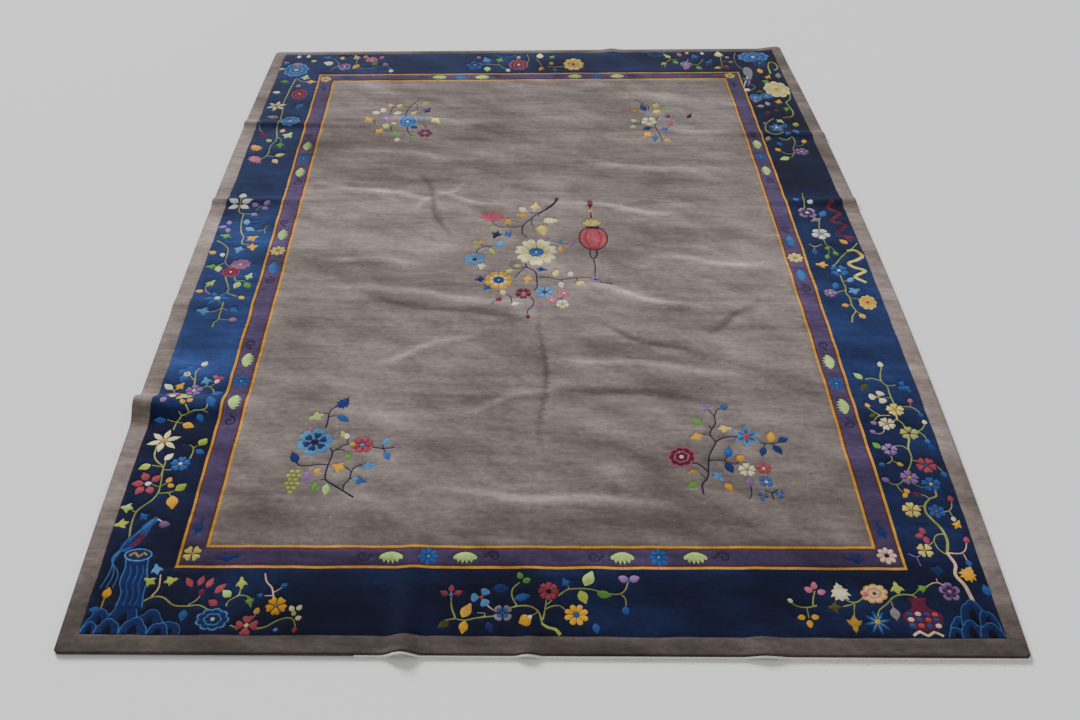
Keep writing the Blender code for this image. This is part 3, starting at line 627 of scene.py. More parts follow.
LEAVES = (
    # near left corner
    Leaf(-128, -129.7, 170, 4, 4, "three", "pale_green"),
    Leaf(-128, -136, 200, 4.5, 4, "three", "yellow_green"),
    Leaf(-115.3, -127.5, 280, 5.5, 3.4, "plain", "orange"),
    Leaf(-114, -121.5, 45, 4, 3, "plain", "yellow_green"),
    Leaf(-122.3, -133, 130, 3.5, 3, "three", "blue"), Leaf(-125.8, -160.7, 85, 4, 2.6, "plain", "orange"),
    Leaf(-127.8, -166.3, 180, 3.5, 2.2, "plain", "blue"),
    Leaf(-114.8, -156.6, 150, 4.2, 3.6, "three", "yellow_green"),
    Leaf(-108.8, -156.4, 20, 4.2, 3.6, "three", "yellow_green"),
    Leaf(-113.8, -152.3, 110, 4.4, 3.6, "three", "light_blue"),
    Leaf(-103.6, -157, 125, 4.4, 1.9, "plain", "red"),
    Leaf(-100.3, -156.5, 75, 3.8, 2, "plain", "red"), Leaf(-97.6, -157.2, 65, 4, 2, "plain", "red"),
    Leaf(-94.2, -159, 50, 4.4, 2.2, "plain", "red"), Leaf(-95.3, -163.8, 150, 3.4, 2.4, "plain", "red"),
    Leaf(-99.3, -160.4, 90, 2.8, 1.8, "plain", "maroon"), Leaf(-102.6, -168.2, 270, 4, 2.6, "plain", "blue"),
    Leaf(-92, -160.8, 140, 3.6, 2.6, "plain", "pale_green"),
    Leaf(-88.5, -157, 100, 4.6, 3.4, "three", "yellow_green"),
    Leaf(-84.8, -163.6, 290, 4.2, 2.8, "three", "green"),
    # near border, middle
    Leaf(-29.4, -160.4, 150, 2.8, 1.8, "plain", "red"), Leaf(-27.4, -158.8, 90, 2.8, 1.8, "plain", "red"),
    Leaf(-25.4, -160.3, 30, 2.8, 1.8, "plain", "red"), Leaf(-29, -170.6, 215, 4, 2.5, "plain", "olive"),
    Leaf(-22.7, -166, 65, 5.2, 3.2, "plain", "gold"), Leaf(-23.3, -171.5, 260, 4.5, 2.8, "plain", "orange"),
    Leaf(-13, -158.7, 0, 5, 3.1, "plain", "dark_blue"),
    Leaf(-16, -171.5, 290, 3.6, 2.2, "plain", "dark_blue"),
    Leaf(-6.8, -161.8, 10, 5, 2.6, "plain", "blue"), Leaf(-6, -169.5, 200, 4, 4.0, "plain", "orange"),
    Leaf(5.8, -156.3, 120, 3.6, 3, "three", "blue"), Leaf(12.8, -155.3, 65, 5.5, 3.4, "plain", "pale_green"),
    Leaf(11, -161.6, 290, 5, 3.1, "plain", "yellow_green"),
    Leaf(17, -160.7, -10, 4.5, 2.8, "plain", "green"),
    Leaf(14.2, -171.8, 280, 3.6, 2.4, "plain", "blue"),
    # near right corner
    Leaf(86, -159.5, 95, 6.5, 6, "five", "cream"), Leaf(83.5, -164.7, 180, 4, 4, "three", "olive"),
    Leaf(88, -170, 265, 5.5, 4.6, "three", "bronze"), Leaf(103, -158, 95, 4.6, 4.2, "three", "yellow_green"),
    Leaf(110.6, -158.2, 20, 4.2, 2.8, "three", "green"), Leaf(100.6, -166.8, 270, 4.4, 3, "plain", "grey"),
    Leaf(125.5, -153, 60, 5.8, 5.4, "five", "orange"),
    Leaf(116.5, -152, 160, 4.8, 4.4, "three", "dark_blue"),
    Leaf(129, -158.5, 100, 4, 2.6, "plain", "blue"), Leaf(127.2, -135.4, 60, 4, 3, "three", "orange"),
    # right border, near group
    Leaf(112.4, -90, 200, 2.6, 1.8, "plain", "olive"),
    Leaf(127.8, -104.6, 280, 4.2, 2.6, "plain", "dark_blue"),
    Leaf(110.6, -103.4, 130, 3.6, 2.4, "plain", "green"), Leaf(126.6, -77.2, 300, 4.2, 3, "three", "blue"),
    Leaf(113, -76.6, 230, 4.2, 2.8, "plain", "olive"), Leaf(112, -71, 130, 4, 2.4, "plain", "pale_green"),
    # right border, middle group
    Leaf(120.6, 27, 60, 5.4, 3, "plain", "blue"), Leaf(116.6, 22.4, 210, 5, 3.4, "three", "grey"),
    Leaf(124.4, 7.2, 130, 4.2, 2.6, "plain", "orange"), Leaf(111.8, 0.8, 270, 4, 2.4, "plain", "blue"),
    Leaf(112.8, -7.7, 170, 5, 4.4, "three", "orange"), Leaf(115.2, -21, 250, 4.8, 2.6, "plain", "blue"),
    Leaf(121.6, -17.4, 50, 4, 2.2, "plain", "light_blue"),
    Leaf(121.4, -24, 20, 5, 4.4, "three", "light_blue"),
    # far right corner
    Leaf(119.2, 153, 100, 5, 3, "plain", "orange"), Leaf(122, 146.4, 60, 5.4, 3.2, "three", "orange"),
    Leaf(127.4, 148, 80, 6, 3, "plain", "grey"), Leaf(114.5, 131.4, 200, 5, 3.4, "three", "olive"),
    Leaf(121.8, 121.2, 70, 4.6, 3.6, "three", "orange"), Leaf(124, 114, 250, 4.6, 3.2, "three", "green"),
    Leaf(112, 117.2, 190, 4, 2.6, "plain", "grey"), Leaf(116, 119.4, 100, 4, 2.6, "plain", "grey"),
    Leaf(118.6, 102.6, 310, 4.6, 3.4, "three", "pale_green"),
    Leaf(119.8, 98.6, 270, 4, 2.6, "plain", "blue"),
    Leaf(123.4, 92.4, 280, 5.6, 2.8, "plain", "blue"), Leaf(125, 99.6, 70, 4.4, 3, "plain", "sage"),
    Leaf(116.6, 93.4, 320, 4, 2.4, "plain", "olive"), Leaf(109.8, 86.8, 240, 4.2, 2.6, "plain", "grey"),
    Leaf(119.4, 90.6, 60, 3.6, 2.4, "plain", "blue"), Leaf(113.8, 69.8, 200, 5, 3, "plain", "pale_green"),
    Leaf(109.9, 144, 120, 5, 2.6, "plain", "sky"), Leaf(119.6, 141.6, 160, 4, 2.6, "plain", "green"),
    # far border, right of the middle
    Leaf(72.6, 169.6, 120, 6, 3.4, "three", "yellow_green"),
    Leaf(69.6, 161.4, 230, 4, 3, "three", "yellow_green"),
    Leaf(76.4, 162.8, 290, 4.4, 3, "plain", "green"), Leaf(79.4, 171.6, 100, 4.4, 3, "plain", "pink"),
    Leaf(81.2, 156.8, 230, 4.8, 3, "plain", "lilac"), Leaf(87.4, 169.4, 110, 5, 4.6, "three", "blue"),
    Leaf(88, 156.8, 300, 4.4, 3, "plain", "green"), Leaf(94.4, 163, 60, 7.4, 4, "three", "blue"),
    Leaf(100.6, 171.6, 90, 6, 5.4, "five", "cream"), Leaf(97.6, 156.8, 200, 4, 2.8, "plain", "yellow"),
    # far border, middle
    Leaf(-23.8, 167, 110, 6.4, 5, "three", "light_blue"), Leaf(-16.8, 167, 70, 5.6, 4.6, "three", "green"),
    Leaf(-23.4, 156.8, 270, 5, 3.4, "plain", "pale_green"), Leaf(4.6, 171, 90, 5.6, 3.6, "plain", "cream"),
    Leaf(11, 169.6, 50, 4.6, 3.4, "three", "green"), Leaf(4.6, 157, 240, 4.8, 3.2, "three", "orange"),
    # far left corner and border
    Leaf(-107.2, 171, 170, 6, 4.4, "three", "blue"), Leaf(-106.4, 164.6, 160, 5.4, 5, "five", "cream"),
    Leaf(-97.4, 160.4, 80, 8.4, 3.4, "plain", "lilac"), Leaf(-92.4, 171, 110, 5.4, 4.4, "three", "yellow"),
    Leaf(-91.6, 160.6, 240, 5.4, 3.2, "plain", "orange"), Leaf(-76.6, 162.6, 110, 4.4, 3, "plain", "lilac"),
    Leaf(-82, 164, 60, 5, 3.6, "three", "green"), Leaf(-125.4, 145, 170, 5, 4, "three", "green"),
    Leaf(-115.4, 149, 80, 5.6, 4.6, "three", "pale_green"),
    Leaf(-111.8, 144.4, 0, 5.4, 3.8, "three", "orange"),
    Leaf(-127, 133.8, 170, 4, 2.6, "plain", "cream"), Leaf(-124.6, 109.6, 170, 5.6, 3, "plain", "grey"),
    Leaf(-113.8, 119.8, 60, 5.4, 3, "plain", "blue"), Leaf(-126, 92.8, 230, 5, 3, "plain", "maroon"),
    Leaf(-114.8, 92.4, 60, 5.8, 5.2, "three", "pale_green"), Leaf(-117, 83.6, 280, 5, 4, "three", "green"),
    Leaf(-115.6, 75.2, 20, 4.6, 2.8, "plain", "yellow"),
    Leaf(-116.8, 69.8, 300, 4.4, 2.6, "plain", "yellow"),
    Leaf(-125, 71, -50, 7.4, 5.4, "peony", "pink"), Leaf(-127, 81.8, 130, 5.8, 5, "peony", "orange"),
    # left border, middle group
    Leaf(-127.4, 37, 150, 4.6, 3, "plain", "white"), Leaf(-122.2, 37, 30, 4.6, 3, "plain", "white"),
    Leaf(-127, 33.6, 210, 4.2, 2.8, "plain", "white"), Leaf(-122.6, 33.6, -30, 4.2, 2.8, "plain", "white"),
    Leaf(-126.5, 27.4, 200, 5.4, 3.2, "three", "dark_blue"),
    Leaf(-116.3, 22, 20, 5, 3, "plain", "dark_blue"),
    Leaf(-120, 22.5, 100, 4.4, 2.6, "plain", "light_blue"),
    Leaf(-118, 17.4, 330, 4.4, 2.6, "plain", "light_blue"),
    Leaf(-126.4, 22.2, 100, 3.4, 2, "plain", "lilac"), Leaf(-128.3, 19, 190, 3.4, 2, "plain", "lilac"),
    Leaf(-126, 16.6, 280, 3.4, 2, "plain", "lilac"), Leaf(-126.3, 12.8, 160, 5, 3, "three", "green"),
    Leaf(-123.8, 10.2, 300, 3.6, 2.2, "plain", "dark_blue"), Leaf(-116, 11, 40, 4.8, 4.2, "three", "gold"),
    Leaf(-115, 4.7, 280, 4.8, 4.2, "three", "orange"), Leaf(-119.5, 3, 260, 5, 4, "three", "light_blue"),
    Leaf(-127.5, -7.8, 180, 4.6, 3, "three", "green"),
    Leaf(-124.6, -9.4, 280, 4, 2.6, "plain", "pale_green"),
    Leaf(-112.8, -14, 75, 4.6, 3, "three", "pale_green"),
    Leaf(-116.3, -19.8, 250, 4.4, 2.8, "plain", "pale_green"),
    Leaf(-112.5, -20, 300, 4.4, 2.8, "plain", "green"),
    Leaf(-125.5, -18.5, 60, 5, 3.2, "three", "yellow_green"),
    Leaf(-124.8, -35.4, 170, 5, 4.2, "three", "light_blue"), Leaf(-114.3, -34.8, 320, 4, 3, "three", "blue"),
    # left border, near group
    Leaf(-125, -68.3, 150, 3.8, 2.8, "plain", "blue"), Leaf(-122.8, -67.2, 60, 3.6, 2.6, "plain", "blue"),
    Leaf(-124, -71.8, 260, 3.8, 2.8, "plain", "blue"), Leaf(-116.3, -73, 110, 4.5, 4, "three", "light_blue"),
    Leaf(-111.4, -79.6, 20, 4, 2.4, "plain", "blue"), Leaf(-112.2, -84.4, 110, 6, 3, "plain", "blue"),
    Leaf(-127.7, -76, 140, 4, 2.4, "plain", "cream"), Leaf(-124, -75.6, 60, 3.8, 3.2, "three", "orange"),
    Leaf(-126, -80.4, 190, 3.2, 2.4, "plain", "pink"), Leaf(-124.3, -80, 20, 3, 2.2, "plain", "pink"),
    Leaf(-124.8, -82.2, 290, 3, 2.2, "plain", "cream"),
    Leaf(-121.8, -81, 130, 3.4, 2.2, "plain", "yellow_green"),
    Leaf(-119.9, -82.6, 30, 3.4, 2.2, "plain", "yellow_green"),
    Leaf(-122, -83.6, 230, 3, 2, "plain", "yellow_green"),
    Leaf(-126.8, -92.6, 180, 4, 2.4, "plain", "blue"), Leaf(-114.5, -91.5, 300, 3.4, 2.4, "plain", "blue"),
    Leaf(-117.6, -94.7, -20, 4.2, 2.8, "plain", "orange"),
    Leaf(-120.6, -108.6, 55, 3.8, 2.2, "plain", "cream"),
    Leaf(-126.8, -113, 210, 3.8, 2.8, "plain", "yellow_green"),
    Leaf(-111.4, -102, 60, 3.8, 3, "plain", "yellow_green"),
    Leaf(-111.5, -106.4, 330, 3.4, 2.2, "plain", "blue"), Leaf(-125.6, -117, 120, 3.8, 2.6, "plain", "red"),
    Leaf(-127.2, -119.8, 180, 3.8, 2.6, "plain", "red"), Leaf(-122, -117.8, 50, 3.6, 2.6, "plain", "red"),
    Leaf(-126, -122.6, 240, 3.8, 2.6, "plain", "red"), Leaf(-122.8, -122.6, 300, 3.6, 2.6, "plain", "red"),
    # field, near left spray
    Leaf(-68.4, -84, 60, 6, 5, "five", "dark_blue"), Leaf(-77, -90.6, 205, 5.2, 4.2, "three", "pale_green"),
    Leaf(-67.8, -91.6, 325, 5.5, 2.6, "plain", "blue"), Leaf(-66.8, -98.6, 120, 3.6, 2.8, "three", "yellow"),
    Leaf(-64, -108.6, 290, 3.4, 2.4, "plain", "green"), Leaf(-52, -101.8, 75, 4, 2.4, "plain", "light_blue"),
    Leaf(-51.3, -108.2, 290, 4, 2.6, "plain", "blue"), Leaf(-66.6, -113, 160, 5, 4.4, "three", "orange"),
    Leaf(-81.3, -108.8, 115, 5, 3, "plain", "dark_blue"),
    Leaf(-56.6, -112.4, 10, 5, 4.2, "three", "light_blue"),
    Leaf(-58.8, -118.6, 350, 4.6, 3.6, "three", "blue"), Leaf(-76, -117, 100, 6, 4.2, "three", "lilac"),
    Leaf(-73, -114.4, 40, 2.8, 2, "plain", "orange"), Leaf(-73, -121.2, 260, 5, 3.2, "three", "green"),
    Leaf(-69.2, -122.4, 270, 5, 2.5, "plain", "pale_green"),
    # field, near right spray
    Leaf(52.6, -92.8, 140, 5, 4, "three", "green"), Leaf(51.5, -99.8, 200, 5, 4, "three", "gold"),
    Leaf(61.6, -96, 0, 5.5, 3.4, "three", "yellow"), Leaf(76.5, -99.6, 80, 5, 3, "plain", "orange"),
    Leaf(80.4, -101, 20, 4, 2.6, "plain", "dark_blue"),
    Leaf(77.8, -105.4, 300, 5, 2.6, "plain", "dark_blue"),
    Leaf(72.8, -106.2, 250, 4.5, 2.4, "plain", "dark_blue"), Leaf(61.3, -106.2, 80, 5, 3, "plain", "blue"),
    Leaf(60.8, -113, 290, 5, 3, "plain", "dark_blue"), Leaf(48.2, -114.8, 200, 3.6, 2.6, "three", "gold"),
    Leaf(56.8, -116.8, 300, 5, 4.2, "three", "light_blue"),
    Leaf(47.6, -120.4, 200, 3.8, 2.8, "plain", "green"),
    Leaf(59.4, -121, 300, 3.6, 2.6, "plain", "orange"), Leaf(66.4, -118.6, 90, 4.4, 2.6, "plain", "lilac"),
    # field, far left spray
    Leaf(-54, 107.4, 60, 4.6, 4, "three", "light_blue"), Leaf(-47.5, 105, -45, 6.5, 4.8, "three", "yellow"),
    Leaf(-52, 114.8, 60, 5, 4.2, "three", "dark_blue"), Leaf(-49.2, 99.2, 20, 4, 3, "plain", "grey"),
    Leaf(-58.4, 112.8, 50, 4.4, 3.2, "three", "yellow"),
    Leaf(-53.4, 122, 40, 5, 3.4, "three", "yellow_green"),
    Leaf(-80, 106.6, 120, 6.6, 4.6, "three", "orange"), Leaf(-74, 95.6, 240, 5.6, 4.2, "three", "orange"),
    Leaf(-71, 100.4, 90, 4.6, 3.4, "plain", "pale_green"),
    Leaf(-67.6, 102.6, 300, 3.4, 2.4, "plain", "yellow"),
    Leaf(-77, 113, 160, 4.4, 3.2, "plain", "cream"), Leaf(-73.6, 115.4, 100, 4.4, 3.2, "plain", "cream"),
    Leaf(-66.4, 112.6, 20, 4.2, 3, "plain", "cream"), Leaf(-66.2, 94, 280, 6, 4.2, "three", "green"),
    Leaf(-66, 119.6, 60, 4, 2.8, "plain", "yellow"), Leaf(-57.6, 98.6, 330, 4.2, 3, "plain", "dark_blue"),
    # field, far right spray
    Leaf(54, 116.4, 100, 7, 3.2, "plain", "dark_blue"), Leaf(49.4, 113.6, 180, 4.6, 3.4, "three", "bronze"),
    Leaf(60.6, 118.4, 60, 5, 4.2, "three", "yellow_green"),
    Leaf(60.4, 112.6, 20, 4.6, 3.2, "plain", "yellow"),
    Leaf(65, 115, 340, 4.8, 3.6, "three", "green"), Leaf(55.4, 110.6, 220, 4, 3.2, "three", "light_blue"),
    Leaf(65.4, 107.6, 60, 3.4, 2.6, "plain", "maroon"), Leaf(68.2, 103.6, 340, 4.6, 3.8, "three", "lilac"),
    Leaf(63, 96, 30, 5.2, 4, "three", "blue"), Leaf(54, 96.6, 200, 4.6, 3.2, "plain", "dark_blue"),
    Leaf(53.4, 91.2, 230, 5.6, 4.8, "three", "orange"), Leaf(63.6, 90.8, 330, 4.4, 3, "plain", "lilac"),
    Leaf(57, 87.6, 260, 6, 3.4, "three", "blue"), Leaf(76, 108, 60, 5.6, 2.8, "three", "navy"),
    # field, middle
    Leaf(-7, 26.6, 160, 5, 3.6, "three", "orange"), Leaf(-6.8, 31, 130, 4.6, 3.2, "plain", "peach"),
    Leaf(-1.2, 33.2, 80, 6.5, 4.6, "three", "yellow"), Leaf(5.4, 22.6, 0, 7, 5, "five", "cream"),
    Leaf(1.6, 15.4, 280, 8, 5.8, "five", "yellow"), Leaf(-19.5, 17.4, 230, 3.4, 2.6, "plain", "sage"),
    Leaf(-17.8, 12.6, 250, 5.6, 4.6, "three", "ink"), Leaf(-12.6, 12.8, 300, 4.6, 4, "three", "blue"),
    Leaf(-15.8, 6.2, 260, 6, 3.6, "plain", "light_blue"), Leaf(-26, 7.4, 120, 4, 2.8, "plain", "sage"),
    Leaf(-19, 1.5, 300, 5, 2.2, "plain", "yellow_green"), Leaf(-23.3, -8.4, 260, 4.6, 4, "three", "cream"),
    Leaf(8.8, 2.8, 270, 4.2, 2.6, "plain", "gold"), Leaf(1, -10.4, 350, 5, 3.2, "three", "dark_blue"),
    Leaf(-9, -8, 330, 3.2, 2, "plain", "yellow_green"),
    Leaf(-12.4, -11.4, 230, 3.6, 2.2, "plain", "yellow_green"),
    Leaf(-4.8, -16.6, 260, 5, 4.2, "three", "orange"), Leaf(-23.8, -16.4, 190, 4.6, 4, "three", "dark_blue"),
    Leaf(-20.7, -21.6, 230, 4.2, 3.4, "three", "blue"), Leaf(6.4, -12.8, 70, 4.6, 2.6, "plain", "yellow"),
    Leaf(8.4, -20, 280, 4, 2.4, "plain", "white"), Leaf(-16, -29, 60, 3.6, 2.6, "plain", "maroon"),
    Leaf(-9.6, -31.6, 20, 3.4, 1.8, "plain", "cream"), Leaf(15, -19.2, 240, 3, 1.8, "plain", "yellow"),
    Leaf(15.6, -19.4, 270, 3, 1.8, "plain", "yellow"), Leaf(16.6, -19, 300, 3, 1.8, "plain", "yellow"),
)

BUDS = (
    # near border, from the left
    Bud(-115.5, -136, 0, 3.2, "lilac"), Bud(-82.2, -166.6, 80, 2.4, "gold"),
    Bud(-75.9, -158, 30, 2.2, "blue"),
    Bud(-82.4, -161.4, 180, 2, "blue"), Bud(-72.5, -165.8, 120, 2.2, "cream"),
    Bud(-70.3, -165.4, 60, 2.1, "cream"),
    Bud(-71.6, -167.4, 90, 1.9, "yellow_green"), Bud(-70, -168.8, 20, 2, "cream"),
    Bud(-70.5, -172.7, 260, 2, "red"),
    Bud(-76, -172.6, 200, 1.5, "light_blue"), Bud(-27.4, -160.9, 90, 1.6, "light_blue"),
    Bud(-7.4, -154.4, 110, 2.6, "green"), Bud(-5.4, -156.2, 30, 2.6, "green"),
    Bud(-4.6, -168.4, 230, 1.6, "cream"),
    Bud(23, -166, 270, 2.8, "blue"), Bud(22.9, -155.2, 160, 3.2, "lilac"),
    Bud(26.3, -155.3, 20, 3.2, "lilac"),
    Bud(24.5, -156, 90, 1.4, "blue"), Bud(77, -158.8, 150, 2.6, "pink"), Bud(78.9, -157.4, 80, 2.6, "pink"),
    Bud(80.8, -159.6, 10, 2.6, "pink"), Bud(73.1, -167.8, 190, 2.4, "orange"),
    Bud(77.3, -167.8, 0, 2.4, "orange"),
    Bud(75.2, -170, 270, 2.6, "orange"), Bud(71, -162.4, 150, 1.8, "cream"),
    Bud(93.2, -160.2, 60, 2, "pink"),
    # near right corner and right border
    Bud(128.3, -141.2, 80, 2.4, "red"), Bud(126.7, -149.6, 270, 2.4, "blue"),
    Bud(116, -137.8, 110, 2.6, "red"),
    Bud(114.5, -139.8, 190, 2.6, "red"), Bud(116.4, -141.4, 280, 2.6, "red"),
    Bud(127.9, -125.4, 90, 2.4, "red"),
    Bud(126.6, -133.4, 270, 2, "cream"), Bud(118.1, -123.6, 140, 2.4, "maroon"),
    Bud(115.4, -122.4, 130, 2.2, "orange"),
    Bud(114.5, -124.2, 230, 2.2, "orange"), Bud(109.7, -118, 150, 2.6, "lilac"),
    Bud(128.6, -115.8, 280, 2.6, "blue"),
    Bud(116.2, -111.6, 330, 2.2, "orange"), Bud(110.2, -111.6, 190, 2.2, "blue"),
    Bud(128.4, -93, 90, 2, "cream"),
    Bud(127.1, -101.6, 280, 2.2, "blue"), Bud(112, -93.2, 150, 2.2, "lilac"),
    Bud(110.8, -97.2, 150, 2.2, "lilac"),
    Bud(111.8, -85.2, 110, 2.2, "gold"), Bud(128.3, -89.8, 290, 2.2, "blue"),
    Bud(126.4, -83, 80, 2.2, "pink"),
    Bud(125.6, -74.5, 60, 2.4, "blue"), Bud(124.9, -77, 300, 2.4, "blue"), Bud(120.8, -65, 90, 2.6, "cream"),
    Bud(111.8, 37, 110, 3, "blue"), Bud(117.2, 35, 60, 3, "white"), Bud(117.4, 3.2, 60, 2.6, "green"),
    Bud(119.8, -0.6, 300, 2.6, "green"), Bud(116.1, -2.6, 250, 2.6, "green"),
    Bud(116.2, -32.8, 180, 2.6, "orange"),
    Bud(120.9, -39, 290, 3, "orange"), Bud(114.2, 82.4, 120, 3.2, "blue"),
    Bud(112.4, 77.6, 120, 3, "orange"),
    Bud(125.4, 84.6, 70, 3, "orange"), Bud(114.2, 111, 200, 2.8, "maroon"), Bud(119, 113, 60, 2.8, "maroon"),
    Bud(108.4, 133, 200, 3.4, "white"), Bud(111.2, 101, 120, 2.6, "lilac"),
    Bud(110.6, 122, 100, 2.6, "pink"),
    # far border
    Bud(104.7, 168, 100, 3, "grey"), Bud(105.9, 163, 20, 3, "grey"), Bud(102.5, 158, 300, 3.4, "red"),
    Bud(84, 173, 70, 2.4, "yellow"), Bud(91.8, 172.4, 90, 2.6, "white"), Bud(10.4, 162.6, 90, 3.2, "bronze"),
    Bud(12, 155.4, 290, 3, "blue"), Bud(-12.6, 155.6, 290, 3, "white"), Bud(-7, 169.8, 90, 2.8, "yellow"),
    Bud(-28, 170, 120, 2.8, "pink"), Bud(-87.6, 171.6, 80, 3.2, "bronze"),
    Bud(-73.2, 155.6, 270, 3, "white"),
    Bud(-79, 170.6, 70, 3, "pink"), Bud(-99.6, 170.2, 90, 3, "yellow"), Bud(-129, 158.4, 200, 3, "yellow"),
    Bud(-127.8, 165.6, 140, 3.4, "lilac"), Bud(-122.5, 172, 100, 2.8, "white"),
    Bud(-117.5, 172.4, 80, 2.8, "white"),
    Bud(-114, 167.4, 20, 3, "yellow"), Bud(-117.6, 140.6, 60, 2.8, "bronze"),
    # left border
    Bud(-129.3, 103.2, 100, 2.6, "blue"), Bud(-118, 96.6, 90, 3, "orange"),
    Bud(-122.6, 88, 140, 3, "yellow_green"),
    Bud(-124.9, 42, 90, 3.6, "white"), Bud(-118.9, 35, 150, 3, "lilac"), Bud(-114.4, 36, 60, 3, "lilac"),
    Bud(-114.6, 32.6, 330, 2.8, "lilac"), Bud(-118, 28, 340, 2.8, "lilac"),
    Bud(-128.7, 1.4, 150, 2.8, "orange"),
    Bud(-124.7, -0.4, 290, 2.4, "white"), Bud(-128.4, -23.2, 170, 2.6, "orange"),
    Bud(-113, -27.4, 320, 2.6, "orange"),
    Bud(-113.9, -40, 350, 2.8, "pink"), Bud(-118.4, -64.4, 60, 2.6, "cream"),
    Bud(-113.5, -71.1, 130, 2.2, "red"),
    Bud(-111.6, -71.8, 20, 2.2, "red"), Bud(-112.8, -73.5, 250, 2.2, "peach"),
    Bud(-126.7, -85.4, 250, 2.6, "lilac"),
    Bud(-120.8, -85.6, 130, 2.2, "orange"), Bud(-118.6, -84.8, 50, 2.2, "orange"),
    Bud(-116.8, -103.8, 120, 2.4, "ink"),
    Bud(-118.1, -118.4, 70, 2.4, "orange"), Bud(-117.1, -120.8, 330, 2.2, "orange"),
    Bud(-123.9, -119.9, 0, 2.2, "white"),
    # field sprays
    Bud(-65.4, -99.4, 90, 2.4, "white"), Bud(-63, -103, 0, 2, "orange"), Bud(-48.1, -104, 330, 2.4, "lilac"),
    Bud(-60.4, -117.8, 0, 2.2, "light_blue"), Bud(-78, -96, 120, 2, "pink"),
    Bud(55.6, -86.8, 130, 2.8, "lilac"),
    Bud(57.6, -85, 60, 2.6, "lilac"), Bud(62.8, -86.2, 30, 3.2, "blue"), Bud(64.8, -109, 30, 3, "orange"),
    Bud(-70.5, 120.2, 100, 3, "yellow"), Bud(-65, 88.2, 250, 3, "cream"), Bud(-57.6, 89.6, 270, 3, "green"),
    Bud(48.2, 104.2, 140, 3, "pale_green"), Bud(47.2, 98.4, 200, 3, "pale_green"),
    Bud(62.6, 86.2, 320, 3, "orange"),
    Bud(66, 99.8, 20, 2.6, "red"), Bud(-12.8, 22, 80, 4, "orange"), Bud(3.5, 10.5, 60, 2.4, "lilac"),
    Bud(8.9, 8, 60, 2.4, "sky"), Bud(13.7, 6.4, 0, 2.8, "lilac"), Bud(-14.5, -24.5, 280, 3, "cream"),
    Bud(-6.6, -26, 90, 2.6, "pink"), Bud(-0.2, -32.8, 0, 2.6, "lilac"), Bud(12.2, -13.2, 80, 3, "white"),
    Bud(-24, 7.6, 90, 2.4, "orange"), Bud(-5, -39, 270, 2.4, "maroon"),
)

